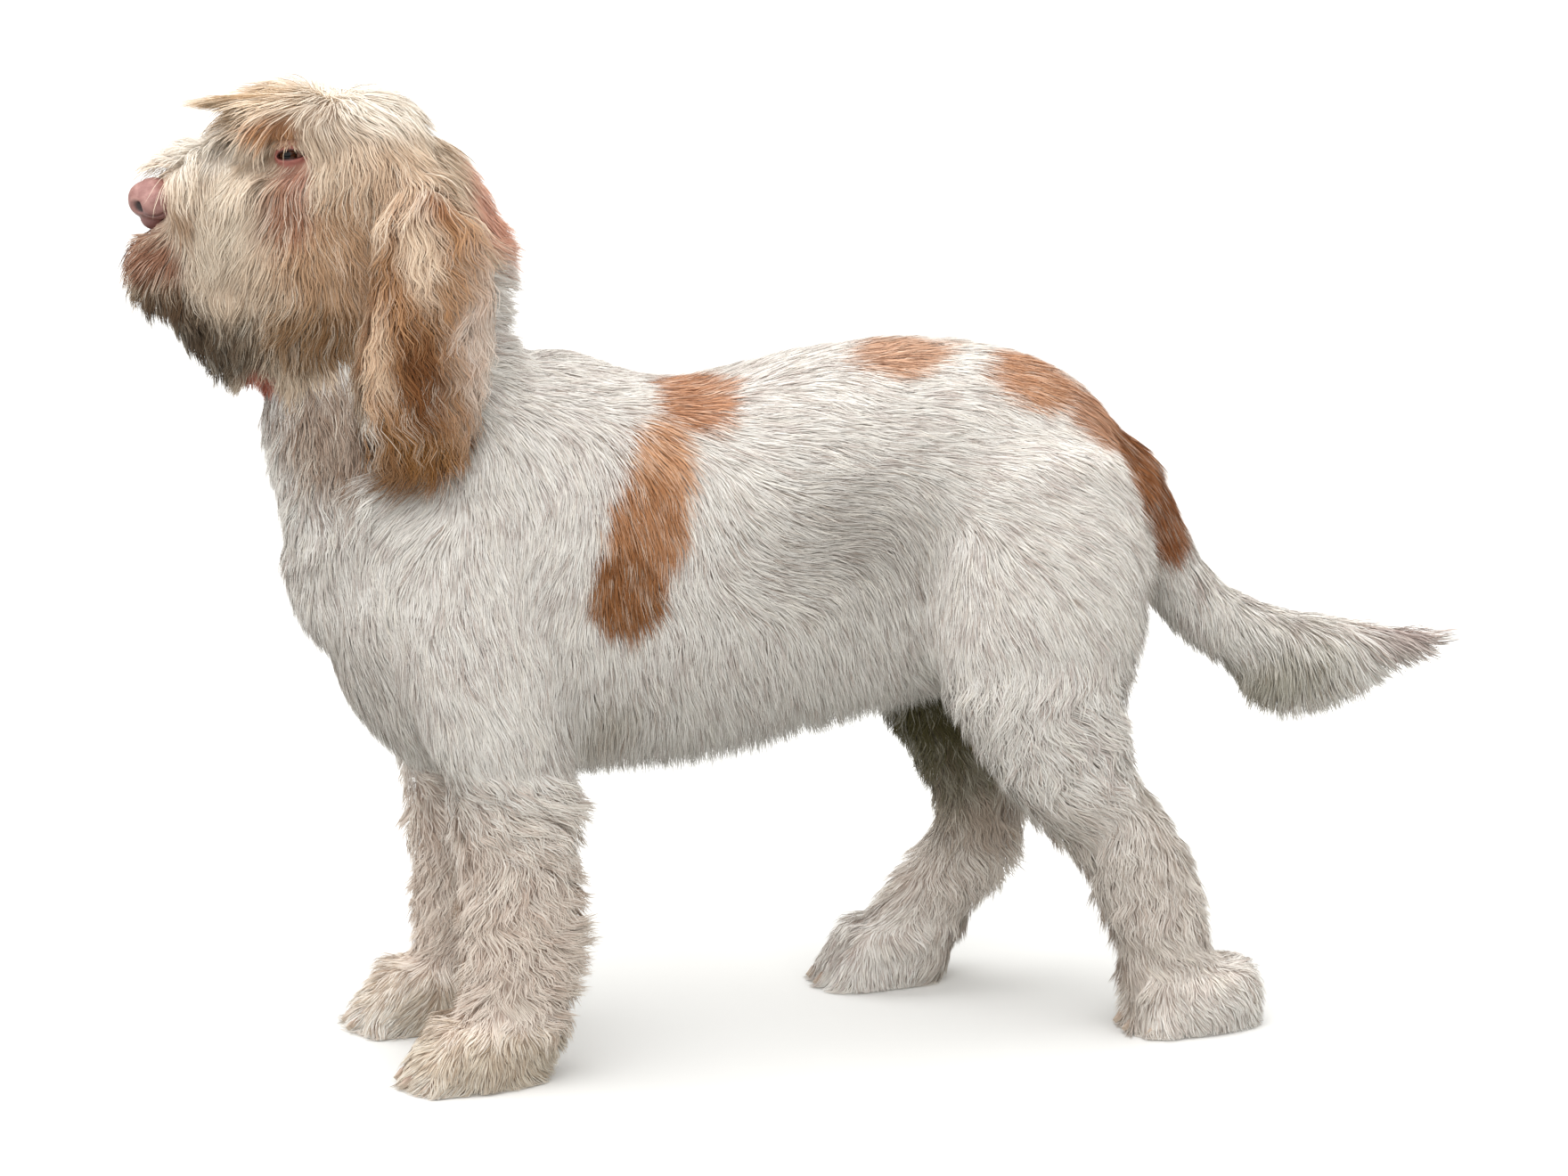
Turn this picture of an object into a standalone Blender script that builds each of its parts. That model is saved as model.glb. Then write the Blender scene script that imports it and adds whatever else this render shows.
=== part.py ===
"""A life-size Spinone, standing: a rough-coated Italian pointer, as a still museum model.

The solids give the animal's outline out to the tips of its coat. Every limb is a loft: a tube through
cross-sections. The lofts are fused and smoothed into one body, and the body is then parted with thin cuts
where a person would name its parts. Ears, eyes, nose and claws are pieces of their own, let into the body.

Metres, +Z up. The dog looks along -Y and its left side is +X. The origin is on the floor, under the middle.
"""

import math

import bmesh
import bpy
import numpy as np
from mathutils import Matrix, Vector

for old in list(bpy.data.objects):
    bpy.data.objects.remove(old, do_unlink=True)

# Driving sizes
CROUP_HEIGHT = 0.647
HEAD_TURN = math.radians(-6)  # the head looks a little to the dog's right
HEAD_PIVOT = Vector((0, -0.40, 0.75))
EYE_RADIUS = 0.0118
EYE_CENTRE = Vector((0.0385, -0.4430, 0.8325))
GAZE = Vector((0.62, -0.78, 0.02)).normalized()
NOSE_CENTRE = Vector((0, -0.5610, 0.7920))
NOSTRIL_TURN = math.radians(38)  # out from straight ahead
NOSTRIL_TILT = math.radians(-20)
FORELEG_X = 0.086
HINDLEG_X = 0.102
PAW_LENGTH = 0.122
CLAW_AHEAD = 0.021  # from the middle of a toe to its claw's
CLAW_HEIGHT = 0.0105
CLAW_RADII = (0.0032, 0.0110, 0.0044)
CLAW_TILT = math.radians(40)  # down at the tip
TOE_RADII = (0.0125, 0.026, 0.024)
TOES = (  # across the paw, back from its tip
    (-0.033, 0.040),
    (-0.0125, 0.024),
    (0.0125, 0.024),
    (0.033, 0.040),
)
PAWS = {  # each paw's middle, and how far forward its toes reach
    "fore_left": (FORELEG_X, -0.376),
    "fore_right": (-FORELEG_X, -0.394),
    "hind_left": (HINDLEG_X, 0.298),
    "hind_right": (-HINDLEG_X, 0.058),
}
FORELEG_Y = {"left": -0.270, "right": -0.283}

# Where the body is parted
CUT = 0.0006  # the gap that parts two pieces of the body
CLEARANCE = 0.0004  # the gap round a piece that is let into the body
FAR = 1.0
HEAD_CORNER, HEAD_TILT = (0, -0.490, 0.628), 34
MUZZLE_CORNER, MUZZLE_TILT = (0, -0.462, 0.500), 4
JAW_CORNER, JAW_TILT = (0, -0.600, 0.733), 8
NECK_CORNER, NECK_TILT = (0, -0.475, 0.470), 40
TAIL_CORNER, TAIL_TILT = (0, 0.366, 0.418), -48
TAIL_BOX = ((-0.06, 0, -0.06), (0.06, FAR, 0.30))
BETWEEN_LEGS = 0.040
FORELEG_TOP, FORELEG_REAR = 0.300, -0.17
HINDLEG_TOP, HINDLEG_FRONT = 0.372, 0.088
FOREPAW_TOP, HINDPAW_TOP = 0.064, 0.062

BODY_VOXEL = 0.0055
BODY_TRIANGLES = 3900
EAR_TRIANGLES = 240
NOSE_TRIANGLES = 220
NOSE_VOXEL = 0.0022
DOME_ANGLES = [math.radians(degrees) for degrees in (25, 50, 75)]  # the rings that round off a loft's end
DOME_REACH = 0.6  # how far an end bulges, against its section's least radius

COATS = {
    "white_coat": (0.80, 0.76, 0.71, 0.9),
    "orange_coat": (0.62, 0.36, 0.19, 0.9),
    "cream_coat": (0.76, 0.64, 0.50, 0.9),
    "nose_skin": (0.55, 0.33, 0.33, 0.45),
    "eye": (0.20, 0.11, 0.05, 0.1),
    "claw": (0.72, 0.62, 0.52, 0.4),
}


def collection(name):
    made = bpy.data.collections.new(name)
    bpy.context.scene.collection.children.link(made)
    return made


def material(name):
    red, green, blue, roughness = COATS[name]
    made = bpy.data.materials.new(name)
    made.use_nodes = True
    shader = made.node_tree.nodes["Principled BSDF"]
    shader.inputs["Base Color"].default_value = (red, green, blue, 1)
    shader.inputs["Roughness"].default_value = roughness
    shader.inputs["Metallic"].default_value = 0
    return made


# ---------------------------------------------------------------- lofts


def smooth_rows(rows, steps):
    """Rows of numbers, with steps - 1 more between each two on a cubic curve that doesn't overshoot."""
    rows = np.array(rows, float)
    along = np.concatenate([[0], np.cumsum(np.linalg.norm(np.diff(rows[:, :3], axis=0), axis=1))])
    slopes = np.diff(rows, axis=0) / np.diff(along)[:, None]
    tangents = np.vstack([slopes[:1], (slopes[:-1] + slopes[1:]) / 2, slopes[-1:]])
    out = []
    for i in range(len(rows) - 1):
        span = along[i + 1] - along[i]
        for t in np.arange(steps) / steps:
            out.append(
                (2 * t**3 - 3 * t**2 + 1) * rows[i]
                + (t**3 - 2 * t**2 + t) * span * tangents[i]
                + (3 * t**2 - 2 * t**3) * rows[i + 1]
                + (t**3 - t**2) * span * tangents[i + 1]
            )
    out.append(rows[-1])
    return np.array(out)


def ring(centre, along, half_width, rise, fall, square, sides):
    """The corners of a section, square to the loft's line. Rise is its reach to the side of X cross along."""
    side = (Vector((1, 0, 0)) - along * along.x).normalized()
    up = side.cross(along)
    corners = []
    for k in range(sides):
        angle = 2 * math.pi * k / sides
        across = math.copysign(abs(math.cos(angle)) ** (2 / square), math.cos(angle))
        high = math.copysign(abs(math.sin(angle)) ** (2 / square), math.sin(angle))
        reach = rise if high > 0 else fall
        corners.append(centre + side * (half_width * across) + up * (reach * high))
    return corners


def loft(name, stations, square=2.15, steps=4, sides=36):
    """A closed tube through stations of (x, y, z, half width, rise, fall), with rounded ends."""
    rows = smooth_rows(stations, steps)
    centres = [Vector(row[:3]) for row in rows]
    last = len(rows) - 1
    lines = [(centres[min(i + 1, last)] - centres[max(i - 1, 0)]).normalized() for i in range(last + 1)]
    rings = [ring(centres[i], lines[i], *rows[i][3:], square, sides) for i in range(last + 1)]
    domes = []
    for end, sign in ((0, -1), (last, 1)):
        reach = sign * DOME_REACH * min(rows[end][3:])
        dome = []
        for angle in DOME_ANGLES:
            shrink, out = math.cos(angle), reach * math.sin(angle)
            dome.append([centres[end].lerp(corner, shrink) + lines[end] * out for corner in rings[end]])
        domes.append(dome)
    rings = domes[0][::-1] + rings + domes[1]
    mesh = bpy.data.meshes.new(name)
    shape = bmesh.new()
    loops = [[shape.verts.new(corner) for corner in corners] for corners in rings]
    for near, far in zip(loops, loops[1:]):
        for k in range(sides):
            after = (k + 1) % sides
            shape.faces.new((near[k], near[after], far[after], far[k]))
    shape.faces.new(loops[0][::-1])
    shape.faces.new(loops[-1])
    bmesh.ops.recalc_face_normals(shape, faces=shape.faces)
    shape.to_mesh(mesh)
    shape.free()
    return bpy.data.objects.new(name, mesh)


def flat_rows(x, rows):
    """Stations along a level line, from (y, top, bottom, half width), each widest just under its middle."""
    stations = []
    for y, top, bottom, half_width in rows:
        middle = bottom + 0.48 * (top - bottom)
        stations.append((x, y, middle, half_width, top - middle, middle - bottom))
    return stations


def ball(name, centre, radii, segments=24):
    mesh = bpy.data.meshes.new(name)
    shape = bmesh.new()
    bmesh.ops.create_uvsphere(shape, u_segments=segments, v_segments=segments // 2, radius=1)
    bmesh.ops.transform(shape, matrix=Matrix.LocRotScale(centre, None, Vector(radii)), verts=shape.verts)
    shape.to_mesh(mesh)
    shape.free()
    return bpy.data.objects.new(name, mesh)


def box(name, low, high, corner=(0, 0, 0), tilt=0):
    """A box between two points of a frame that starts at a corner and is tilted by some degrees about X."""
    low, high = Vector(low), Vector(high)
    mesh = bpy.data.meshes.new(name)
    shape = bmesh.new()
    bmesh.ops.create_cube(shape, size=1)
    within = Matrix.LocRotScale((low + high) / 2, None, high - low)
    frame = Matrix.Translation(corner) @ Matrix.Rotation(math.radians(tilt), 4, "X")
    bmesh.ops.transform(shape, matrix=frame @ within, verts=shape.verts)
    shape.to_mesh(mesh)
    shape.free()
    return bpy.data.objects.new(name, mesh)


def turned(obj):
    """A piece of the head, which is modelled looking straight ahead, turned with it."""
    turn = Matrix.Translation(HEAD_PIVOT) @ Matrix.Rotation(HEAD_TURN, 4, "Z")
    obj.data.transform(turn @ Matrix.Translation(-HEAD_PIVOT))
    return obj


# ---------------------------------------------------------------- the dog's lofts


def trunk_loft():
    """Forechest, ribs, loin and croup, from front to rear."""
    rows = [
        (-0.432, 0.530, 0.405, 0.048),
        (-0.412, 0.590, 0.350, 0.082),
        (-0.370, 0.640, 0.302, 0.104),
        (-0.310, 0.655, 0.284, 0.115),
        (-0.235, 0.653, 0.284, 0.121),
        (-0.165, 0.630, 0.286, 0.124),
        (-0.095, 0.621, 0.290, 0.123),
        (-0.025, 0.628, 0.305, 0.118),
        (0.045, 0.642, 0.315, 0.110),
        (0.110, CROUP_HEIGHT, 0.325, 0.104),
        (0.180, 0.640, 0.340, 0.102),
        (0.240, 0.619, 0.360, 0.096),
        (0.285, 0.587, 0.385, 0.082),
        (0.318, 0.552, 0.415, 0.058),
    ]
    return loft("trunk_loft", flat_rows(0, rows), square=2.25)


def neck_loft():
    """From the shoulders up to the back of the head. Rise is the throat's side."""
    return loft(
        "neck_loft",
        [
            (0, -0.345, 0.430, 0.096, 0.106, 0.090),
            (0, -0.347, 0.505, 0.104, 0.110, 0.095),
            (0, -0.356, 0.580, 0.100, 0.114, 0.120),
            (0, -0.360, 0.650, 0.092, 0.110, 0.118),
            (0, -0.362, 0.705, 0.086, 0.100, 0.106),
            (0, -0.368, 0.752, 0.084, 0.080, 0.116),
            (0, -0.378, 0.792, 0.078, 0.060, 0.098),
            (0, -0.385, 0.820, 0.070, 0.050, 0.076),
        ],
    )


def head_lofts():
    """Skull, muzzle, and the beard under it, each from front to rear, with cheeks and brows."""
    skull = [
        (-0.485, 0.866, 0.800, 0.032),
        (-0.468, 0.880, 0.775, 0.050),
        (-0.440, 0.888, 0.735, 0.066),
        (-0.400, 0.892, 0.705, 0.075),
        (-0.360, 0.886, 0.700, 0.076),
        (-0.332, 0.868, 0.712, 0.066),
        (-0.313, 0.845, 0.740, 0.045),
    ]
    muzzle = [
        (-0.556, 0.800, 0.757, 0.024),
        (-0.546, 0.820, 0.745, 0.036),
        (-0.528, 0.838, 0.728, 0.044),
        (-0.503, 0.848, 0.715, 0.050),
        (-0.473, 0.857, 0.705, 0.056),
        (-0.445, 0.866, 0.700, 0.062),
    ]
    beard = [
        (-0.570, 0.765, 0.737, 0.020),
        (-0.560, 0.775, 0.714, 0.034),
        (-0.542, 0.775, 0.690, 0.043),
        (-0.518, 0.775, 0.664, 0.048),
        (-0.493, 0.775, 0.648, 0.052),
        (-0.465, 0.775, 0.645, 0.058),
        (-0.435, 0.775, 0.650, 0.064),
    ]
    pieces = [
        loft("skull_loft", flat_rows(0, skull)),
        loft("muzzle_loft", flat_rows(0, muzzle), square=2.5),
        loft("beard_loft", flat_rows(0, beard), square=2.3),
    ]
    for side in (-1, 1):
        pieces.append(ball("cheek", (side * 0.046, -0.415, 0.735), (0.040, 0.062, 0.080)))
        brow = [
            (side * 0.022, -0.500, 0.860, 0.016, 0.008, 0.014),
            (side * 0.026, -0.482, 0.861, 0.022, 0.014, 0.020),
            (side * 0.030, -0.455, 0.862, 0.026, 0.020, 0.024),
            (side * 0.034, -0.420, 0.862, 0.028, 0.022, 0.028),
        ]
        pieces.append(loft("brow_loft", brow))
    return [turned(piece) for piece in pieces]


def foreleg_loft(side, y):
    """Shoulder to wrist, from the top down. Rise is the rear of the leg."""
    x = side * FORELEG_X
    leg = [
        (x * 0.86, y - 0.045, 0.520, 0.040, 0.075, 0.080),
        (x * 0.94, y - 0.032, 0.430, 0.048, 0.072, 0.080),
        (x, y - 0.015, 0.345, 0.050, 0.063, 0.073),
        (x, y - 0.003, 0.275, 0.047, 0.056, 0.061),
        (x, y, 0.210, 0.045, 0.055, 0.055),
        (x, y + 0.002, 0.150, 0.045, 0.055, 0.054),
        (x, y + 0.001, 0.100, 0.045, 0.052, 0.051),
        (x, y - 0.004, 0.048, 0.044, 0.050, 0.056),
    ]
    return loft("foreleg_loft", leg)


def hindleg_left_loft():
    x = HINDLEG_X
    leg = [
        (x * 0.66, 0.215, 0.530, 0.048, 0.090, 0.095),
        (x * 0.84, 0.213, 0.440, 0.056, 0.107, 0.100),
        (x * 0.94, 0.209, 0.365, 0.054, 0.098, 0.096),
        (x * 0.98, 0.222, 0.303, 0.050, 0.078, 0.073),
        (x, 0.244, 0.254, 0.046, 0.062, 0.060),
        (x, 0.271, 0.217, 0.044, 0.049, 0.050),
        (x, 0.298, 0.181, 0.043, 0.046, 0.047),
        (x, 0.318, 0.140, 0.043, 0.049, 0.049),
        (x, 0.331, 0.098, 0.043, 0.048, 0.047),
        (x, 0.341, 0.048, 0.043, 0.052, 0.048),
    ]
    return loft("hindleg_loft", leg)


def hindleg_right_loft():
    """The right hind leg stands under the belly, with its pastern sloping forward."""
    x = -HINDLEG_X
    leg = [
        (x * 0.66, 0.215, 0.530, 0.048, 0.090, 0.095),
        (x * 0.84, 0.198, 0.440, 0.056, 0.107, 0.095),
        (x * 0.94, 0.184, 0.360, 0.054, 0.093, 0.083),
        (x * 0.98, 0.186, 0.292, 0.050, 0.077, 0.070),
        (x, 0.205, 0.236, 0.046, 0.057, 0.054),
        (x, 0.222, 0.188, 0.043, 0.048, 0.050),
        (x, 0.217, 0.142, 0.042, 0.045, 0.044),
        (x, 0.188, 0.097, 0.041, 0.043, 0.042),
        (x, 0.146, 0.050, 0.042, 0.044, 0.044),
    ]
    return loft("hindleg_loft", leg)


def paw_lofts(x, toe):
    """A paw from its toe tips back, and its toes. They reach under the floor, where a cut makes the sole."""
    rows = [
        (toe + 0.014, 0.028, -0.014, 0.030),
        (toe + 0.030, 0.046, -0.014, 0.040),
        (toe + 0.45 * PAW_LENGTH, 0.068, -0.014, 0.047),
        (toe + 0.72 * PAW_LENGTH, 0.072, -0.014, 0.045),
        (toe + 0.92 * PAW_LENGTH, 0.058, -0.014, 0.036),
    ]
    pieces = [loft("paw_loft", flat_rows(x, rows), square=2.6)]
    for across, back in TOES:
        pieces.append(ball("toe", (x + across, toe + back, 0.014), TOE_RADII, 16))
    return pieces


def tail_loft():
    """From inside the croup to the tip. Rise is the top, fall the feathered side."""
    return loft(
        "tail_loft",
        [
            (0, 0.310, 0.495, 0.045, 0.055, 0.055),
            (0, 0.350, 0.442, 0.037, 0.041, 0.042),
            (0, 0.385, 0.395, 0.031, 0.031, 0.032),
            (0, 0.424, 0.358, 0.027, 0.029, 0.028),
            (0, 0.463, 0.336, 0.027, 0.032, 0.038),
            (0, 0.503, 0.325, 0.027, 0.035, 0.041),
            (0, 0.545, 0.326, 0.022, 0.030, 0.034),
            (0, 0.588, 0.330, 0.015, 0.017, 0.022),
            (0, 0.620, 0.331, 0.009, 0.009, 0.010),
            (0, 0.638, 0.333, 0.005, 0.004, 0.004),
        ],
    )


def ear_loft(side):
    """A long flap hanging beside the cheek, from its root down. Rise is its rear edge."""
    flap = [
        (side * 0.064, -0.345, 0.815, 0.016, 0.018, 0.020),
        (side * 0.084, -0.338, 0.790, 0.020, 0.040, 0.034),
        (side * 0.096, -0.327, 0.745, 0.022, 0.050, 0.050),
        (side * 0.100, -0.331, 0.690, 0.022, 0.057, 0.059),
        (side * 0.100, -0.341, 0.635, 0.021, 0.050, 0.055),
        (side * 0.099, -0.345, 0.600, 0.018, 0.045, 0.047),
        (side * 0.097, -0.346, 0.582, 0.010, 0.028, 0.030),
    ]
    return turned(loft("ear_loft", flap))


# ---------------------------------------------------------------- fusing and parting


def mesh_of(obj):
    """The object's mesh as its modifiers leave it, with no modifiers."""
    bpy.context.view_layer.update()
    return bpy.data.meshes.new_from_object(obj.evaluated_get(bpy.context.evaluated_depsgraph_get()))


def settle(obj):
    """Applies the object's modifiers."""
    mesh = mesh_of(obj)
    obj.modifiers.clear()
    obj.data = mesh
    return obj


def fuse(name, pieces, where, voxel):
    """One smooth skin round overlapping lofts."""
    shape = bmesh.new()
    for piece in pieces:
        shape.from_mesh(piece.data)
        bpy.data.objects.remove(piece)
    mesh = bpy.data.meshes.new(name)
    shape.to_mesh(mesh)
    shape.free()
    body = bpy.data.objects.new(name, mesh)
    where.objects.link(body)
    remesh = body.modifiers.new("fuse", "REMESH")
    remesh.mode = "VOXEL"
    remesh.voxel_size = voxel
    smooth = body.modifiers.new("soften", "SMOOTH")
    smooth.factor = 0.5
    smooth.iterations = 10
    return settle(body)


def thin_out(body, triangles):
    """The same form with only so many triangles, larger where it is plainer."""
    count = sum(len(polygon.vertices) - 2 for polygon in body.data.polygons)
    decimate = body.modifiers.new("thin out", "DECIMATE")
    decimate.ratio = triangles / count
    decimate.use_collapse_triangulate = True
    return settle(body)


def grown(solid, by):
    """A copy of a solid that is larger by a distance all round."""
    shape = bmesh.new()
    shape.from_mesh(solid.data)
    shape.normal_update()
    moves = [vertex.normal * (by * vertex.calc_shell_factor()) for vertex in shape.verts]
    for vertex, move in zip(shape.verts, moves):
        vertex.co += move
    mesh = bpy.data.meshes.new(solid.name + "_grown")
    shape.to_mesh(mesh)
    shape.free()
    return bpy.data.objects.new(mesh.name, mesh)


def boolean(body, cutter, operation):
    """Cuts the body with a solid, which isn't used up."""
    if not cutter.users_collection:
        CUTTERS.objects.link(cutter)
        cutter.hide_render = True
        cutter.display_type = "WIRE"
    step = body.modifiers.new(operation.lower(), "BOOLEAN")
    step.operation = operation
    step.object = cutter
    step.solver = "EXACT"
    return settle(body)


def largest(body):
    """Drops the crumbs that a cut can leave beside a piece."""
    shape = bmesh.new()
    shape.from_mesh(body.data)
    islands = []
    seen = set()
    for start in shape.verts:
        if start in seen:
            continue
        island, todo = set(), [start]
        while todo:
            vertex = todo.pop()
            if vertex not in island:
                island.add(vertex)
                todo += [edge.other_vert(vertex) for edge in vertex.link_edges]
        seen |= island
        islands.append(island)
    islands.sort(key=len)
    bmesh.ops.delete(shape, geom=[v for island in islands[:-1] for v in island], context="VERTS")
    shape.to_mesh(body.data)
    shape.free()
    return body


def part_off(body, name, cutter, coat):
    """Takes what lies inside the cutter off the body as its own piece, a thin cut away from the rest."""
    piece = bpy.data.objects.new(name, body.data.copy())
    PARTS.objects.link(piece)
    boolean(piece, cutter, "INTERSECT")
    boolean(body, grown(cutter, CUT), "DIFFERENCE")
    return finish(largest(piece), coat)


def finish(piece, coat):
    piece.data.materials.clear()
    piece.data.materials.append(bpy.data.materials[coat])
    piece.vertex_groups.clear()
    piece.data.shade_smooth()
    return piece


# ---------------------------------------------------------------- small pieces


def eye(side):
    """An eyeball, with the cornea's bulge facing out and forward."""
    centre = EYE_CENTRE * Vector((side, 1, 1))
    made = ball("eye_left" if side > 0 else "eye_right", centre, [EYE_RADIUS] * 3, 14)
    gaze = GAZE * Vector((side, 1, 1))
    for vertex in made.data.vertices:
        off_axis = (vertex.co - centre).normalized().angle(gaze)
        vertex.co += gaze * (0.0018 * max(0.0, math.cos(min(off_axis * 2.2, math.pi / 2))))
    PARTS.objects.link(turned(made))
    return finish(made, "eye")


def nose_pad():
    """The leather of the nose: a broad pad with two wings, a groove down its front, and two nostrils."""
    pieces = [
        ball("pad", NOSE_CENTRE + Vector((0, 0, 0.003)), (0.0200, 0.0175, 0.0200)),
        ball("front", NOSE_CENTRE + Vector((0, -0.006, 0.002)), (0.0165, 0.0155, 0.0165)),
        ball("lip", NOSE_CENTRE + Vector((0, -0.001, -0.014)), (0.0090, 0.0120, 0.0120)),
    ]
    for side in (-1, 1):
        wing = NOSE_CENTRE + Vector((side * 0.0135, 0.001, -0.001))
        pieces.append(ball("wing", wing, (0.0105, 0.0150, 0.0130)))
    return fuse("nose", [turned(piece) for piece in pieces], PARTS, NOSE_VOXEL)


def open_nostrils(nose):
    for side in (-1, 1):
        opening = ball("nostril", (0, 0, 0), (0.0040, 0.0120, 0.0046), 8)
        place = NOSE_CENTRE + Vector((side * 0.0098, -0.0190, -0.0030))
        outward = Matrix.Rotation(-side * NOSTRIL_TURN, 4, "Z")
        opening.data.transform(Matrix.Translation(place) @ outward @ Matrix.Rotation(NOSTRIL_TILT, 4, "X"))
        boolean(nose, turned(opening), "DIFFERENCE")
    return finish(largest(nose), "nose_skin")


def claw(name, x, y):
    """One blunt claw, pointing forward and down to the floor."""
    made = ball(name, (0, 0, 0), CLAW_RADII, 6)
    tilt = Matrix.Rotation(CLAW_TILT, 4, "X")
    made.data.transform(Matrix.Translation((x, y, CLAW_HEIGHT)) @ tilt)
    PARTS.objects.link(made)
    return finish(made, "claw")


def socket_opening(side):
    """The funnel through the coat in front of an eye."""
    stations = []
    for out, radius in ((0.002, 0.0095), (0.012, 0.0110), (0.024, 0.0165), (0.040, 0.0260)):
        place = EYE_CENTRE * Vector((side, 1, 1)) + GAZE * Vector((side, 1, 1)) * out
        stations.append((*place, radius, radius * 0.8, radius * 0.8))
    return turned(loft("socket_opening", stations, steps=1, sides=12))


# ---------------------------------------------------------------- the whole dog


PARTS = collection("spinone")
CUTTERS = collection("cutters")
for coat_name in COATS:
    material(coat_name)

lofts = [trunk_loft(), neck_loft(), tail_loft(), *head_lofts()]
lofts += [foreleg_loft(1, FORELEG_Y["left"]), foreleg_loft(-1, FORELEG_Y["right"])]
lofts += [hindleg_left_loft(), hindleg_right_loft()]
for x, toe in PAWS.values():
    lofts += paw_lofts(x, toe)
dog = thin_out(fuse("trunk", lofts, PARTS, BODY_VOXEL), BODY_TRIANGLES)
above = ((-FAR, -FAR, 0), (FAR, FAR, FAR))
below = ((-FAR, -FAR, -FAR), (FAR, FAR, 0))
before = ((-FAR, -FAR, 0), (FAR, 0, FAR))
boolean(dog, box("under_floor", *below), "DIFFERENCE")

for side, name in ((1, "ear_left"), (-1, "ear_right")):
    ear = thin_out(fuse(name, [ear_loft(side)], PARTS, BODY_VOXEL), EAR_TRIANGLES)
    boolean(ear, grown(dog, CLEARANCE), "DIFFERENCE")
    finish(largest(ear), "orange_coat")

nose = thin_out(nose_pad(), NOSE_TRIANGLES)
boolean(dog, grown(nose, CLEARANCE), "DIFFERENCE")
open_nostrils(nose)

for side in (1, -1):
    ball_of_eye = eye(side)
    boolean(dog, grown(ball_of_eye, CLEARANCE), "DIFFERENCE")
    boolean(dog, socket_opening(side), "DIFFERENCE")
largest(dog)

for paw, (x, toe) in PAWS.items():
    for number, (across, back) in enumerate(TOES, 1):
        made = claw(f"claw_{paw}_{number}", x + across, toe + back - CLAW_AHEAD)
        boolean(dog, grown(made, CLEARANCE), "DIFFERENCE")

head = part_off(dog, "head", box("head_box", *above, HEAD_CORNER, HEAD_TILT), "cream_coat")
muzzle = part_off(head, "muzzle", box("muzzle_box", *before, MUZZLE_CORNER, MUZZLE_TILT), "white_coat")
part_off(muzzle, "jaw", box("jaw_box", *below, JAW_CORNER, JAW_TILT), "cream_coat")
part_off(dog, "neck", box("neck_box", *above, NECK_CORNER, NECK_TILT), "white_coat")
part_off(dog, "tail", box("tail_box", *TAIL_BOX, TAIL_CORNER, TAIL_TILT), "white_coat")
for side, name in ((1, "left"), (-1, "right")):
    near, far = sorted((side * BETWEEN_LEGS, side * FAR))
    boxes = {
        "forepaw": box("forepaw_box", (near, -FAR, -FAR), (far, 0, FOREPAW_TOP)),
        "hindpaw": box("hindpaw_box", (near, 0, -FAR), (far, FAR, HINDPAW_TOP)),
        "foreleg": box("foreleg_box", (near, -FAR, -FAR), (far, FORELEG_REAR, FORELEG_TOP)),
        "hindleg": box("hindleg_box", (near, HINDLEG_FRONT, -FAR), (far, FAR, HINDLEG_TOP)),
    }
    for piece, cutter in boxes.items():
        part_off(dog, f"{piece}_{name}", cutter, "white_coat")
finish(largest(dog), "white_coat")

corners = [vertex.co for piece in PARTS.objects for vertex in piece.data.vertices]
middle = [(min(c[axis] for c in corners) + max(c[axis] for c in corners)) / 2 for axis in (0, 1)]
for piece in PARTS.objects:
    piece.data.transform(Matrix.Translation((-middle[0], -middle[1], 0)))
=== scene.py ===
# %% [markdown]
# # A life-size Spinone, standing
# A Spinone is a rough-coated Italian pointer. This lesson dresses its fixed solid frame: one skin over the
# whole body, a coat of some four hundred thousand thin strands combed over it, and bare leather, eyes and
# claws. Everything is in metres, with +Z up, the dog facing -Y and its left side on +X.

# %% Load the fixed frame
import math

import bmesh
import bpy
import numpy as np
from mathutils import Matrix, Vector
from mathutils.bvhtree import BVHTree
from mathutils.kdtree import KDTree


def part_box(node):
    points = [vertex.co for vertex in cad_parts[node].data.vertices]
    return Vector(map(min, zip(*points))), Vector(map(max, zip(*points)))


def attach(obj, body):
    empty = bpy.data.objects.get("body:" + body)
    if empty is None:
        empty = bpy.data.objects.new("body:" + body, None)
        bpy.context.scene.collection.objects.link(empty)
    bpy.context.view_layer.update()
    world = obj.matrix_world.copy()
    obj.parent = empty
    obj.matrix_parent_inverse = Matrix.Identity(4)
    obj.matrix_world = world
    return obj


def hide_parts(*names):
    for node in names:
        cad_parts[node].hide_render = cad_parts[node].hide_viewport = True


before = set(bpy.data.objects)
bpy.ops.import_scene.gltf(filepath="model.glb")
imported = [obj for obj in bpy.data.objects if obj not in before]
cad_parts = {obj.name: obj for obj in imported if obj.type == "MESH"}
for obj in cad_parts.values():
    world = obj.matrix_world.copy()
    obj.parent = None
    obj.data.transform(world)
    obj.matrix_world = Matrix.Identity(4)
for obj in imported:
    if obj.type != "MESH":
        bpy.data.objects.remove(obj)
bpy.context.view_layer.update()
scene = bpy.context.scene
SHIFT = np.array((0.0, -0.0281, 0.0))  # from the stations the dog was drawn at to the model's own origin
CLAWS = [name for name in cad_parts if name.startswith("claw")]


def add_object(name, data):
    """A new object in the scene."""
    made = bpy.data.objects.new(name, data)
    scene.collection.objects.link(made)
    return made


# %% [markdown]
# ## Camera
# The dog is seen from its left and a little from the front and above, through a long lens, which keeps the
# legs and the head in proportion. The camera is placed on a ray from a point in the middle of the body.

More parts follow.
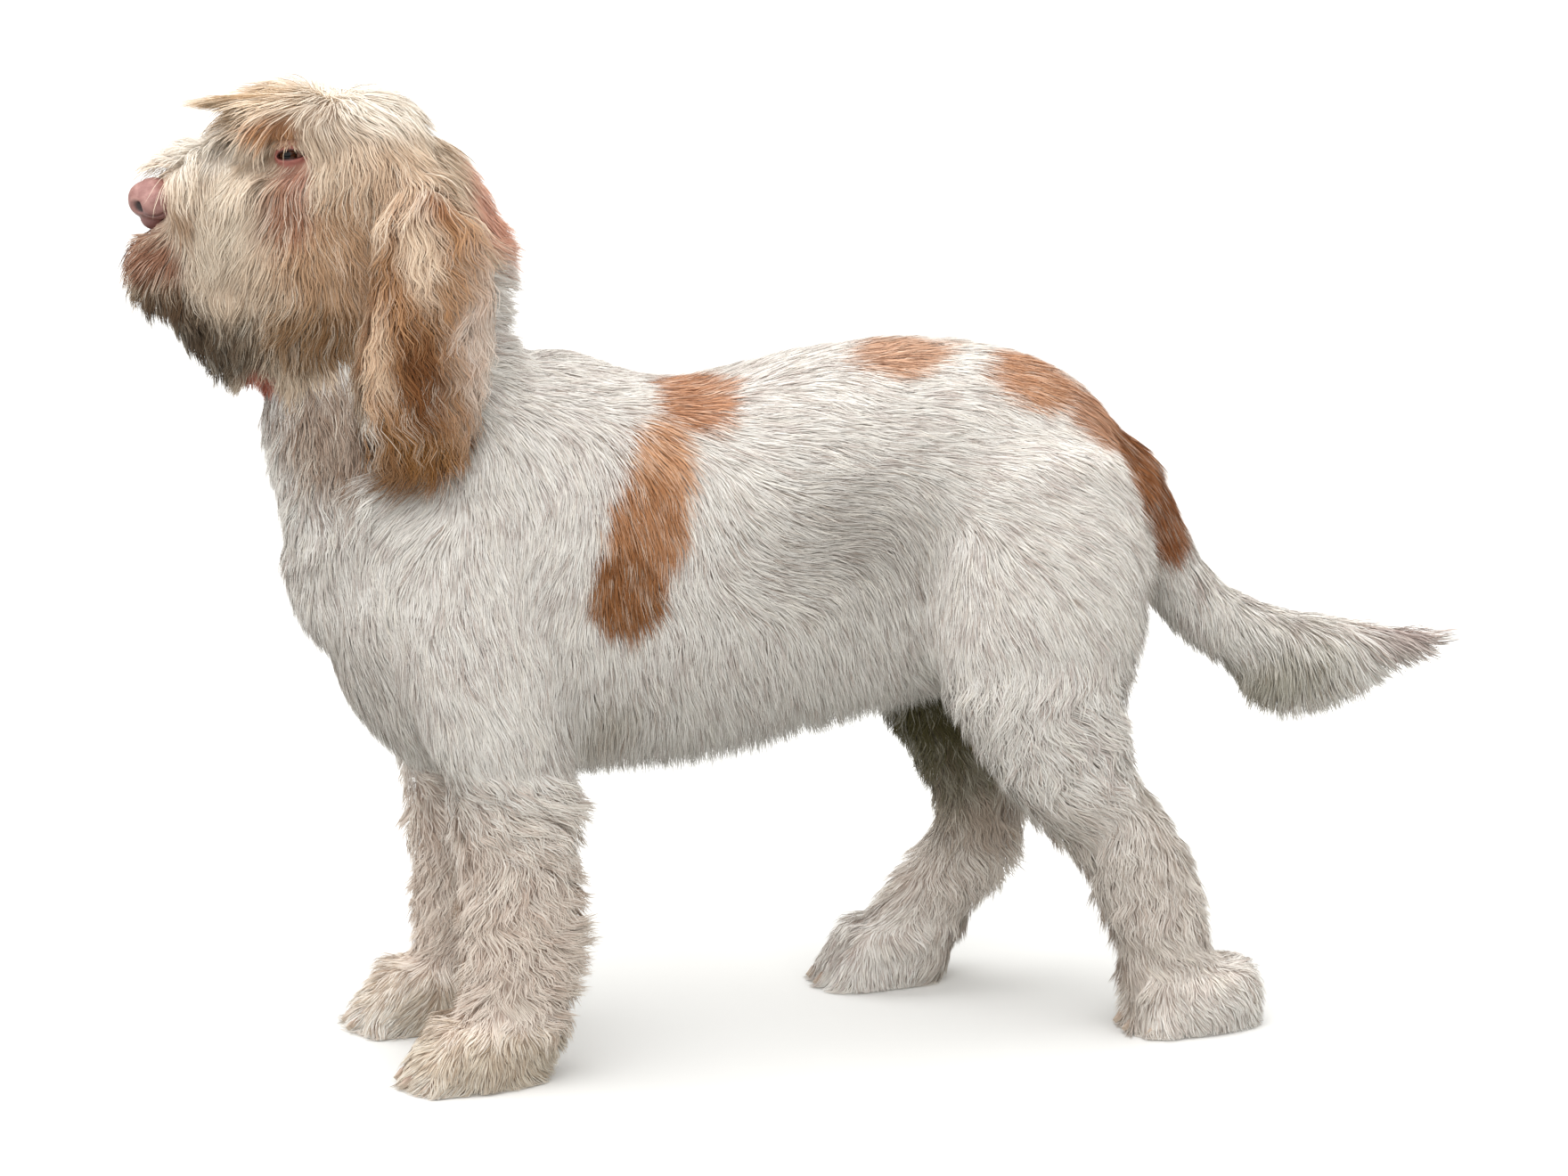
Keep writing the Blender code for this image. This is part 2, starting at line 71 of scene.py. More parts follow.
# %% Camera
AZIMUTH, ELEVATION, DISTANCE = math.radians(75), math.radians(13.5), 4.2
AIM_HEIGHT = 0.416
FOCAL_LENGTH, SENSOR_WIDTH = 105.9, 36  # in millimetres
middle = Vector((0, SHIFT[1], AIM_HEIGHT))
ray = Vector(
    (
        math.sin(AZIMUTH) * math.cos(ELEVATION),
        -math.cos(AZIMUTH) * math.cos(ELEVATION),
        math.sin(ELEVATION),
    )
)
lens = bpy.data.cameras.new("camera")
lens.lens = FOCAL_LENGTH
lens.sensor_width = SENSOR_WIDTH
camera = add_object("camera", lens)
camera.location = middle + ray * DISTANCE
camera.rotation_euler = ray.to_track_quat("Z", "Y").to_euler()
scene.camera = camera
print("camera at", [round(v, 3) for v in camera.location])

# %% [markdown]
# ## Shader graphs as sums
# A material is a graph of small nodes. Wiring it by hand is long, so one class wraps a socket and adds a
# Math node for each operator, and one method makes every other kind of node from its settings and its
# inputs.


# %% A socket that can be added up
class Signal:
    """A number that varies over a surface: a socket with Python's own sums on it."""

    def __init__(self, graph, socket):
        self.graph, self.socket = graph, socket

    def sum(self, operation, first, second):
        return self.graph.add("ShaderNodeMath", {"operation": operation}, {0: first, 1: second})

    def __add__(self, other):
        return self.sum("ADD", self, other)

    def __sub__(self, other):
        return self.sum("SUBTRACT", self, other)

    def __rsub__(self, other):
        return self.sum("SUBTRACT", other, self)

    def __mul__(self, other):
        return self.sum("MULTIPLY", self, other)

    def ramp(self, low, high):
        """0 under low and 1 over high, with a soft change between."""
        return self.graph.add(
            "ShaderNodeMapRange",
            {"interpolation_type": "SMOOTHSTEP"},
            {"Value": self, "From Min": low, "From Max": high},
        )


class Graph:
    """A material being made."""

    def __init__(self, name, shader_values):
        self.material = bpy.data.materials.new(name)
        self.material.use_nodes = True
        self.nodes = self.material.node_tree.nodes
        self.shader = self.nodes["Principled BSDF"]
        for socket, value in shader_values.items():
            self.shader.inputs[socket].default_value = value

    def add(self, kind, settings=None, values=None, output=0):
        """A node of a kind. Its settings are set first, then its sockets get values or links."""
        node = self.nodes.new(kind)
        for name, value in (settings or {}).items():
            setattr(node, name, value)
        for socket, value in (values or {}).items():
            self.feed(node.inputs[socket], value)
        return Signal(self, node.outputs[output])

    def feed(self, socket, value):
        if isinstance(value, Signal):
            self.material.node_tree.links.new(value.socket, socket)
        else:
            socket.default_value = value

    def paint(self, socket, value):
        """Links a finished signal to the shader."""
        self.feed(self.shader.inputs[socket], value)

    def place(self):
        """Where a point is on its object, in metres."""
        return self.add("ShaderNodeTexCoord", output="Object")

    def stored(self, name, output="Fac"):
        """What a mesh keeps under a name at each of its corners."""
        return self.add("ShaderNodeAttribute", {"attribute_name": name}, output=output)

    def mix(self, factor, first, second):
        """A colour between two colours."""
        return self.add("ShaderNodeMix", {"data_type": "RGBA"}, {0: factor, 6: first, 7: second}, 2)

    def noise(self, place, scale, detail=2.0, output=0):
        return self.add("ShaderNodeTexNoise", {}, {"Vector": place, "Scale": scale, "Detail": detail}, output)

    def vector(self, operation, first, second=None, output=0):
        values = {0: first} if second is None else {0: first, 1: second}
        return self.add("ShaderNodeVectorMath", {"operation": operation}, values, output)

    def bump(self, height, strength, distance):
        """A finish that is too fine to model, as a bump on the surface's normal."""
        values = {"Height": height, "Strength": strength, "Distance": distance}
        self.paint("Normal", self.add("ShaderNodeBump", {}, values))


def shade(red, green, blue):
    """A colour picked on a screen, from 0 to 255, in the linear numbers that a shader takes."""
    linear = []
    for part in (red, green, blue):
        part /= 255
        linear.append(part / 12.92 if part <= 0.04045 else ((part + 0.055) / 1.055) ** 2.4)
    return (*linear, 1.0)


print("white hair is", [round(v, 2) for v in shade(233, 228, 222)])

# %% [markdown]
# ## Floor and light
# A dog outdoors under a bright overcast sky is lit from all of the sky at once, so the top of the back is
# brightest and the belly is in soft shade. A very wide sun lamp and a dimmer surrounding do the same in a
# studio. The floor is pale plaster with a faint mottle. It takes the dog's shadow but throws no light back
# up, or the shade under the belly would be lost.

# %% Floor and light
FLOOR = 40.0  # from its middle to its sides
MOTTLE = 3.0  # spots to a metre
SURROUNDING, SURROUNDING_STRENGTH = (0.98, 1.0, 0.93, 1), 0.36
SKY_STRENGTH, SKY_WIDTH, SKY_FROM = 4.25, math.radians(120), Vector((0.26, -0.26, 1.0))

floor_corners = [(x * FLOOR, y * FLOOR, 0) for x, y in ((-1, -1), (1, -1), (1, 1), (-1, 1))]
floor_mesh = bpy.data.meshes.new("floor")
floor_mesh.from_pydata(floor_corners, [], [(0, 1, 2, 3)])
floor = add_object("floor", floor_mesh)
plaster = Graph("floor_plaster", {"Roughness": 0.9})
mottle = plaster.noise(plaster.place(), MOTTLE)
plaster.paint("Base Color", plaster.mix(mottle, shade(243, 242, 240), shade(249, 248, 247)))
floor_mesh.materials.append(plaster.material)
floor.visible_diffuse = False

scene.view_settings.view_transform = "Standard"
scene.world = bpy.data.worlds.new("studio")
scene.world.use_nodes = True
background = scene.world.node_tree.nodes["Background"].inputs
background["Color"].default_value = SURROUNDING
background["Strength"].default_value = SURROUNDING_STRENGTH
sky_data = bpy.data.lights.new("sky", "SUN")
sky_data.energy = SKY_STRENGTH
sky_data.angle = SKY_WIDTH
sky = add_object("sky", sky_data)
sky.rotation_euler = SKY_FROM.to_track_quat("Z", "Y").to_euler()

# %% [markdown]
# ## Skin
# Under its hair a dog has one unbroken skin. The solid pieces reach out to the tips of the coat and are
# parted by thin cuts, so they are joined, remeshed into one surface, and that surface is drawn in by the
# coat's depth: about a centimetre on the body and very little on the paws and round the nose.

# %% Join the solids into one form
SIDES = ("left", "right")
FLESH = ["head", "muzzle", "jaw", "neck", "trunk", "tail"]
FLESH += [f"{part}_{side}" for part in ("ear", "foreleg", "forepaw", "hindleg", "hindpaw") for side in SIDES]
NODES = FLESH + ["nose"]
SKIN_GRID, SKIN_SOFTENING = 0.0042, 3  # the size of the skin's facets, and how many times it is softened
OVERLAP = 0.0007  # closes the cuts between the pieces
SAME_CORNER = 1e-5


def welded(node):
    """A solid's mesh with its doubled corners made one."""
    shape = bmesh.new()
    shape.from_mesh(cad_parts[node].data)
    bmesh.ops.remove_doubles(shape, verts=shape.verts, dist=SAME_CORNER)
    shape.normal_update()
    return shape


def fused(name, mesh, grid, rounds):
    """A mesh whose overlapping pieces are made one surface and softened."""
    whole = add_object(name, mesh)
    remesh = whole.modifiers.new("one surface", "REMESH")
    remesh.mode = "VOXEL"
    remesh.voxel_size = grid
    soften = whole.modifiers.new("soften", "SMOOTH")
    soften.iterations = rounds
    bpy.context.view_layer.update()
    made = bpy.data.meshes.new_from_object(whole.evaluated_get(bpy.context.evaluated_depsgraph_get()))
    bpy.data.objects.remove(whole)
    return made


corners, faces, face_nodes = [], [], []
for number, node in enumerate(NODES):
    solid = welded(node)
    start = len(corners)
    corners += [vertex.co + vertex.normal * OVERLAP for vertex in solid.verts]
    faces += [[start + vertex.index for vertex in face.verts] for face in solid.faces]
    face_nodes += [number] * len(solid.faces)
    solid.free()
form_mesh = bpy.data.meshes.new("form")
form_mesh.from_pydata(corners, [], faces)
skin_mesh = fused("form", form_mesh, SKIN_GRID, SKIN_SOFTENING)
print("skin faces", len(skin_mesh.polygons))


# %% Arrays of the skin
def read(items, attribute, width, kind=np.float32):
    """One attribute of every item of a mesh, as rows."""
    values = np.empty(len(items) * width, kind)
    items.foreach_get(attribute, values)
    return values.reshape(-1, width)


def points_of(mesh):
    """The places of a mesh's corners."""
    return read(mesh.vertices, "co", 3).astype(float)


def edges_of(mesh):
    """The two corners of each edge."""
    return read(mesh.edges, "vertices", 2, np.int32)


def triangles_of(mesh):
    """The three corners of each triangle."""
    mesh.calc_loop_triangles()
    return read(mesh.loop_triangles, "vertices", 3, np.int32)


def move_to(mesh, points):
    """Moves a mesh's corners."""
    mesh.vertices.foreach_set("co", points.astype(np.float32).ravel())


def store(mesh, name, values):
    """Keeps a number or a vector at each corner of a mesh, for its material to read."""
    kind, field = ("FLOAT_VECTOR", "vector") if values.ndim > 1 else ("FLOAT", "value")
    layer = mesh.attributes.new(name, kind, "POINT")
    layer.data.foreach_set(field, values.astype(np.float32).ravel())


def unit(rows):
    """Vectors made one long."""
    return rows / np.maximum(np.linalg.norm(rows, axis=-1, keepdims=True), 1e-9)


def normals_of(points, triangles):
    """Smooth normals of a mesh given as arrays."""
    a, b, c = (points[triangles[:, k]] for k in range(3))
    flat = np.cross(b - a, c - a)
    total = np.zeros_like(points)
    for k in range(3):
        for axis in range(3):
            total[:, axis] += np.bincount(triangles[:, k], flat[:, axis], len(points))
    return unit(total)


def spread(values, rounds):
    """Values over the skin made smoother, each vertex taking a share of its neighbours'."""
    values = values.reshape(len(values), -1).astype(float)
    here, there = np.concatenate([skin_edges, skin_edges[:, ::-1]]).T
    degree = np.bincount(here, minlength=len(values))[:, None]
    for _ in range(rounds):
        total = np.column_stack([np.bincount(here, column[there], len(values)) for column in values.T])
        values = 0.5 * values + 0.5 * total / degree
    return values


form_points = points_of(skin_mesh)
skin_edges = edges_of(skin_mesh)
triangles = triangles_of(skin_mesh)
form_normals = normals_of(form_points, triangles)
solids_tree = BVHTree.FromPolygons(corners, faces)
nearest = [solids_tree.find_nearest(Vector(point))[2] for point in form_points]
skin_node = np.array(face_nodes)[nearest]
print({name: int((skin_node == k).sum()) for k, name in enumerate(NODES)})

# %% [markdown]
# ## How the coat differs from place to place
# A table gives each part of the body its coat: how deep it lies, how long its hairs are, how far they lift
# off the skin in degrees, how much they wave, how wide a strand is and how closely they stand. The skin
# takes these from the nearest solid piece, and they are blended into each other over the surface. Patches
# then add what one place alone has, such as the beard and the short hair round the nose.

# %% The coat of each part
COAT_COLUMNS = ("depth", "length", "lift", "wave", "width", "density")
COAT = {
    "head": (0.0100, 0.056, 20, 0.0032, 0.00068, 1.2),
    "muzzle": (0.0080, 0.054, 20, 0.0024, 0.00062, 1.5),
    "jaw": (0.0120, 0.050, 26, 0.0030, 0.00070, 1.4),
    "neck": (0.0130, 0.044, 24, 0.0040, 0.00080, 1.1),
    "trunk": (0.0110, 0.036, 16, 0.0012, 0.00074, 1.0),
    "tail": (0.0100, 0.040, 20, 0.0016, 0.00085, 1.1),
    "ear": (0.0110, 0.062, 18, 0.0060, 0.00070, 1.4),
    "foreleg": (0.0130, 0.036, 32, 0.0075, 0.00088, 1.2),
    "forepaw": (0.0060, 0.020, 24, 0.0016, 0.00075, 1.5),
    "hindleg": (0.0130, 0.038, 28, 0.0060, 0.00086, 1.1),
    "hindpaw": (0.0060, 0.020, 24, 0.0016, 0.00075, 1.5),
    "nose": (0.0110, 0.006, 20, 0.0000, 0.00050, 0.0),
}
COAT_BLEND = 14  # rounds of smoothing from one part's coat to the next one's
PARTS = np.array([name.split("_")[0] for name in NODES])
coat = spread(np.array([COAT[part] for part in PARTS])[skin_node], COAT_BLEND)
coat = dict(zip(COAT_COLUMNS, coat.T.copy()))
print({name: (round(float(v.min()), 4), round(float(v.max()), 4)) for name, v in coat.items()})


# %% Patches with a coat of their own
def smooth(share):
    """0 up to 0 and 1 from 1 on, with a soft change between."""
    share = np.clip(share, 0, 1)
    return share * share * (3 - 2 * share)


def within(points, centre, radius, mirrored=True):
    """How much each point belongs to a round patch, 1 at its middle and 0 at its edge."""
    points = points - SHIFT
    if mirrored:
        points = np.column_stack([np.abs(points[:, 0]), points[:, 1:]])
    return smooth(1 - np.linalg.norm((points - centre) / radius, axis=1))


eye_boxes = {side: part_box(f"eye_{side}") for side in SIDES}
eye_centres = {side: np.array((low + high) / 2) for side, (low, high) in eye_boxes.items()}
eye_radius = (eye_boxes["left"][1].z - eye_boxes["left"][0].z) / 2
nose_centre = np.array(sum(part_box("nose"), Vector()) / 2)
PATCHES = (  # middle, radii, and what the depth, length, lift and density are multiplied by, on both sides
    (tuple(nose_centre - SHIFT), (0.055, 0.050, 0.046), (0.45, 0.16, 0.8, 1.6), False),
    ((0.0, -0.572, 0.750), (0.035, 0.040, 0.028), (1.0, 0.66, 2.2, 2.2)),
    ((0.0, -0.545, 0.745), (0.045, 0.050, 0.045), (0.80, 0.70, 1.0, 1.2)),
    ((0.0, -0.555, 0.700), (0.070, 0.055, 0.040), (2.0, 0.72, 0.9, 1.3)),
    ((0.0, -0.522, 0.832), (0.032, 0.045, 0.026), (1.0, 0.82, 2.4, 2.2)),
    ((0.02, -0.486, 0.852), (0.060, 0.036, 0.030), (1.0, 0.40, 0.7, 3.0)),
    ((0.03, -0.415, 0.885), (0.050, 0.050, 0.040), (0.6, 0.80, 2.2, 1.6)),
    ((0.0, -0.510, 0.675), (0.090, 0.060, 0.050), (1.7, 0.90, 1.1, 1.2)),
    ((0.0, -0.470, 0.660), (0.090, 0.040, 0.050), (1.0, 0.70, 1.0, 1.2)),
    ((0.0, -0.450, 0.610), (0.060, 0.035, 0.050), (0.6, 1.10, 1.9, 1.4)),
    ((0.0, -0.470, 0.868), (0.050, 0.040, 0.030), (1.0, 1.25, 1.0, 1.8)),
    ((0.0, -0.360, 0.890), (0.110, 0.090, 0.055), (1.0, 0.80, 0.20, 1.3)),
    ((0.0, -0.285, 0.792), (0.080, 0.070, 0.066), (2.0, 0.70, 0.30, 1.3)),
    ((0.0, -0.262, 0.690), (0.080, 0.060, 0.080), (2.1, 0.60, 0.40, 1.3)),
    ((0.0, -0.050, 0.300), (0.110, 0.300, 0.060), (1.0, 1.30, 1.3, 1.0)),
    ((0.08, -0.200, 0.300), (0.060, 0.070, 0.090), (1.0, 1.40, 1.3, 1.0)),
    ((0.0, 0.480, 0.290), (0.060, 0.110, 0.060), (0.9, 1.05, 1.0, 1.2)),
    ((0.0, 0.440, 0.370), (0.060, 0.120, 0.050), (0.6, 0.90, 1.6, 1.2)),
)
for centre, radii, factors, *mirrored in PATCHES:
    share = within(form_points, centre, radii, *mirrored)
    for name, factor in zip(("depth", "length", "lift", "density"), factors):
        coat[name] *= 1 + (factor - 1) * share
print("eye radius", round(eye_radius, 4), "nose at", nose_centre.round(3))

# %% [markdown]
# ## Toes
# A paw's four toes show through its hair as soft furrows that run back from between the claws. The skin
# sinks along the middle between one claw and the next, the hair there is short and flat, and a longer tuft
# hangs over each claw. Above the paw, on the pastern, the hair lies closer than on the rest of the leg.

# %% Furrows between the toes, and closer hair above the feet
FURROW_DEEP = 0.0065
FURROW_FRONT, FURROW_BACK = -0.030, 0.058  # how far before and behind its claw a toe reaches
FURROW_TOP = 0.058  # above the floor
TOE_GAP = 0.028  # a furrow has a claw nearer than this on both of its sides
TOE_TIP = 0.036  # the radius of the tuft over a claw
PASTERN_TOP, PASTERN_FADE = 0.130, 0.060
IN_FURROWS = {"length": -0.4, "lift": -0.6}  # what is added to the coat there, as shares of what it was
AT_TOE_TIPS = {"length": 0.7, "density": 0.8}
ON_PASTERNS = {"length": -0.3, "lift": -0.4}

claw_middles = np.array([sum(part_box(name), Vector()) / 2 for name in CLAWS])
aside, behind, above = (form_points[:, None, k] - claw_middles[None, :, k] for k in (0, 1, 2))
other_paw = (behind < FURROW_FRONT) | (behind > FURROW_BACK)
beside = [np.where((way * aside < 0) | other_paw, 1, way * aside).min(axis=1) for way in (-1, 1)]
furrow = np.sin(math.pi * beside[0] / (beside[0] + beside[1])) ** 4 * (np.maximum(*beside) < TOE_GAP)
furrow *= smooth(2 * (1 - np.where(other_paw, 1, behind).min(axis=1) / FURROW_BACK))
furrow *= form_points[:, 2] < FURROW_TOP
coat["depth"] += FURROW_DEEP * furrow
toe_tip = smooth(1 - np.sqrt(aside**2 + behind**2 + above**2).min(axis=1) / TOE_TIP)
pastern = smooth((PASTERN_TOP - form_points[:, 2]) / PASTERN_FADE)
pastern *= np.isin(PARTS[skin_node], ("foreleg", "hindleg"))
for share, changes in ((furrow, IN_FURROWS), (toe_tip, AT_TOE_TIPS), (pastern, ON_PASTERNS)):
    for name, more in changes.items():
        coat[name] *= 1 + more * share
print("points in furrows", int((furrow > 0.5).sum()))

# %% Draw the skin in by the coat's depth
THINNEST = 0.30  # the skin is drawn in by no more than this share of the body's thickness
JUST_INSIDE, THICKEST = 0.002, 0.2  # where the measuring of the thickness starts and ends
DEPTH_BLEND, SKIN_BLEND, BROW_BLEND = 6, 3, 2  # rounds of smoothing
BROW_FOOT = np.array((0.0, -0.4991, 0.8433))  # the forehead's skin slopes up from here: the tuft is all hair
BROW_SLOPE = np.array((0.0, -0.575, 0.818))  # straight out of that slope
BROW_FADE, BROW_UNDER = 0.006, 0.02  # the slope begins this softly, and reaches this far below its foot
HIP, HIP_SIZE, HIP_BLEND = (0.085, 0.225, 0.540), (0.080, 0.110, 0.070), 40
PAD_BACK, PAD_SIZE, PAD_ROOM = (0, 0.006, 0), (0.036, 0.036, 0.034), 0.014  # skin that makes way for the nose
LIP_UNDER, LIP_FADE = 0.022, 0.010  # but not the lip below it
LOWEST = 0.0015  # of the skin above the floor

form_tree = BVHTree.FromPolygons(form_points.tolist(), triangles.tolist())
thickness = np.full(len(form_points), 1.0)
for index in range(len(form_points)):
    start, inward = Vector(form_points[index]), Vector(-form_normals[index])
    hit = form_tree.ray_cast(start + inward * JUST_INSIDE, inward, THICKEST)
    if hit[0]:
        thickness[index] = hit[3]
depth = spread(np.minimum(coat["depth"], THINNEST * thickness), DEPTH_BLEND)[:, 0]
skin_points = form_points - form_normals * depth[:, None]
skin_points = form_points + spread(skin_points - form_points, SKIN_BLEND)
over = np.clip((skin_points - SHIFT - BROW_FOOT) @ BROW_SLOPE, 0, None)
over_brow = np.clip((skin_points[:, 1] - SHIFT[1] - BROW_FOOT[1]) / BROW_FADE + 1, 0, 1)
over *= over_brow * (skin_points[:, 2] > BROW_FOOT[2] - BROW_UNDER)
skin_points -= spread(over, BROW_BLEND) * BROW_SLOPE
hip = within(form_points, HIP, HIP_SIZE)[:, None]
skin_points += (spread(skin_points, HIP_BLEND) - skin_points) * np.sqrt(hip)
behind_nose = within(form_points, nose_centre - SHIFT - PAD_BACK, PAD_SIZE, False)
above_lip = smooth((skin_points[:, 2] - nose_centre[2] + LIP_UNDER) / LIP_FADE)
skin_points[:, 1] += PAD_ROOM * np.minimum(behind_nose * 2, 1) * above_lip
skin_points[:, 2] = np.maximum(skin_points[:, 2], LOWEST)
move_to(skin_mesh, skin_points)
skin_mesh.update()
print("coat depth", round(float(depth.min()), 4), "to", round(float(depth.max()), 4))

# %% [markdown]
# ## Eyelids
# A dog's eye looks out of an almond-shaped slit between two thick-edged lids, with a crease above. The
# skin's facets are too coarse for that, so a round patch of skin in front of each eye is cut out, and rings
# of finer facets run from the eyeball's surface over the lid's edge, across the crease and out to the cut.
# The last ring is the cut itself, so skin and lids are one surface.

# %% The lines of an eye
HEAD_TURN = math.radians(-6)  # the head looks a little to the dog's right
HAND = {"left": 1, "right": -1}
LEFT_GAZE = np.array((0.93, -0.36, 0.20))  # of the left eye, as if the head looked straight ahead
BULGE = 0.0018  # of the cornea
BULGE_END = 2.2  # the cornea ends where this many times the angle from the gaze makes a right angle
SLIT_LENGTH, UPPER_LID, LOWER_LID = 0.0106, 0.0038, 0.0030  # from the slit's middle to its corners and edges
SLIT_OUT = 0.0018  # from the line of sight to the slit's middle
SLIT_TILT = math.radians(8)  # the outer corner is higher
SOCKET, BEFORE, BEHIND = 0.0215, 0.034, -0.030  # the patch that is cut out: its radius, and its ends
LID_EDGE = 0.0014  # thickness of a lid's edge
LID = 0.0034  # thickness of a lid
CREASES = (  # on which lid, how far out, how far from the slit's edge, and how wide
    ("upper", -0.0012, 0.0046, 0.0010),
    ("upper", 0.0010, 0.0078, 0.0022),
    ("lower", -0.0007, 0.0052, 0.0012),
)


def turned(x, y, z):
    """A direction of the head as if it looked straight ahead, turned with the head."""
    cosine, sine = math.cos(HEAD_TURN), math.sin(HEAD_TURN)
    return np.array((x * cosine - y * sine, x * sine + y * cosine, z))


def eye_axes(side):
    """Out to the outer corner, up, and out along the gaze."""
    gaze = unit(turned(*(LEFT_GAZE * (HAND[side], 1, 1))))
    up = unit(np.array((0, 0, 1)) - gaze * gaze[2])
    return np.stack([HAND[side] * np.cross(up, gaze), up, gaze])


def to_eye(points, side):
    """Points in an eye's own axes, from its middle."""
    return (points - eye_centres[side]) @ eye_axes(side).T


def slit_edge(angle):
    """The lids' edge at an angle round the slit, in the eye's plane."""
    rise = np.sin(angle) * np.abs(np.sin(angle)) ** 0.35
    x = SLIT_OUT + SLIT_LENGTH * np.cos(angle)
    y = rise * np.where(rise > 0, UPPER_LID, LOWER_LID)
    cosine, sine = math.cos(SLIT_TILT), math.sin(SLIT_TILT)
    return np.stack([x * cosine - y * sine, x * sine + y * cosine], 1)


def bulge(angle):
    """How far the cornea stands out of the ball, at an angle from the gaze."""
    return BULGE * np.cos(np.minimum(BULGE_END * angle, math.pi / 2))


def bell(gap, wide):
    """1 where the gap is nothing, falling softly on both sides."""
    return np.exp(-((gap / wide) ** 2))


def ball_height(off_axis):
    """How far the eyeball's surface is in front of its middle."""
    angle = np.arcsin(np.clip(off_axis / eye_radius, 0, 0.999))
    return eye_radius * np.cos(angle) + bulge(angle)


# %% Cut out the sockets and make the lids
LID_RINGS = (0.03, 0.07, 0.12, 0.18, 0.24, 0.31, 0.39, 0.48, 0.58, 0.69, 0.80, 0.90)  # from edge to cut
TUCKED = 1.10  # the innermost ring is so much larger than the slit, behind the lid's edge
FLAT_LID = 0.009  # from the line of sight to where the lid begins to blend into the face
HIDDEN_BACK, EDGE_PROUD = 0.0005, 0.0001  # the two innermost rings' depth in the ball and height on it
LEAST_DOME = 0.003
EDGE_START, EDGE_ROUND = 0.02, 0.20  # where the lid's edge begins to round off, and over how much of the way
CUT_NEAR, CUT_BLEND = 0.05, 3  # how far from the eye its cut is, at most, and rounds of smoothing it


def cut_edge(shape, middle):
    """The corners round a hole, in order."""
    rim = {}
    for edge in shape.edges:
        if edge.is_boundary and (edge.verts[0].co - middle).length < CUT_NEAR:
            for one, other in (edge.verts, reversed(edge.verts)):
                rim.setdefault(one, []).append(other)
    loop = [next(iter(rim))]
    while len(loop) < len(rim):
        ahead = [corner for corner in rim[loop[-1]] if corner not in loop[-2:]]
        if not ahead or ahead[0] is loop[0]:
            break
        loop.append(ahead[0])
    return loop


def make_lids(shape, side, lid):
    """Cuts a socket out of the skin and fills it with lids. It gives the number of facets in a ring."""
    axes = eye_axes(side)
    near = to_eye(np.array([vertex.co for vertex in shape.verts]), side)
    gone = (np.hypot(near[:, 0], near[:, 1]) < SOCKET) & (near[:, 2] > BEHIND) & (near[:, 2] < BEFORE)
    shape.verts.ensure_lookup_table()
    bmesh.ops.delete(shape, geom=[shape.verts[k] for k in np.flatnonzero(gone)], context="VERTS")
    loop = cut_edge(shape, Vector(eye_centres[side]))
    for _ in range(CUT_BLEND):
        places = [vertex.co.copy() for vertex in loop]
        for k, vertex in enumerate(loop):
            vertex.co = places[k] / 2 + (places[k - 1] + places[(k + 1) % len(loop)]) / 4
    outer = to_eye(np.array([vertex.co for vertex in loop]), side)
    angle = np.unwrap(np.arctan2(outer[:, 1], outer[:, 0]))
    if angle[-1] < angle[0]:
        loop, outer, angle = loop[::-1], outer[::-1], angle[::-1]
    inner = slit_edge(angle)
    lids = {"upper": np.clip(np.sin(angle), 0, 1), "lower": np.clip(-np.sin(angle), 0, 1)}
    edge_height = ball_height(np.linalg.norm(inner, axis=1)) + LID_EDGE
    hidden = inner * TUCKED
    rings = [np.column_stack([hidden, ball_height(np.linalg.norm(hidden, axis=1)) - HIDDEN_BACK])]
    rings += [np.column_stack([inner, edge_height - LID_EDGE + EDGE_PROUD])]
    for share in LID_RINGS:
        flat = inner + (outer[:, :2] - inner) * share
        off = np.linalg.norm(flat, axis=1)
        gap = np.linalg.norm(flat - inner, axis=1)
        dome = np.sqrt(np.maximum((eye_radius + LID) ** 2 - off**2, LEAST_DOME**2))
        blend_out = smooth((off - FLAT_LID) / (np.linalg.norm(outer[:, :2], axis=1) - FLAT_LID))
        over = dome + (outer[:, 2] - dome) * blend_out
        for lid_name, out, place, wide in CREASES:
            over += out * bell(gap - place, wide) * lids[lid_name]
        height = edge_height + (over - edge_height) * smooth((share - EDGE_START) / EDGE_ROUND)
        rings.append(np.column_stack([flat, height]))
    made = []
    for ring, share in zip(rings, (0, 0, *LID_RINGS)):
        made.append([shape.verts.new(Vector(eye_centres[side] + place @ axes)) for place in ring])
        for vertex in made[-1]:
            vertex[lid] = 1 - share
    made.append(loop)
    for low, high in zip(made, made[1:]):
        for k in range(len(loop)):
            quad = [low[k - 1], high[k - 1], high[k], low[k]]
            shape.faces.new(quad[:: HAND[side]])
    shape.faces.new(made[0][:: HAND[side]])
    return len(loop)


shape = bmesh.new()
shape.from_mesh(skin_mesh)
first = shape.verts.layers.int.new("first")
lid = shape.verts.layers.float.new("lid")
for vertex in shape.verts:
    vertex[first] = vertex.index + 1
print("facets round each eye", [make_lids(shape, side, lid) for side in SIDES])

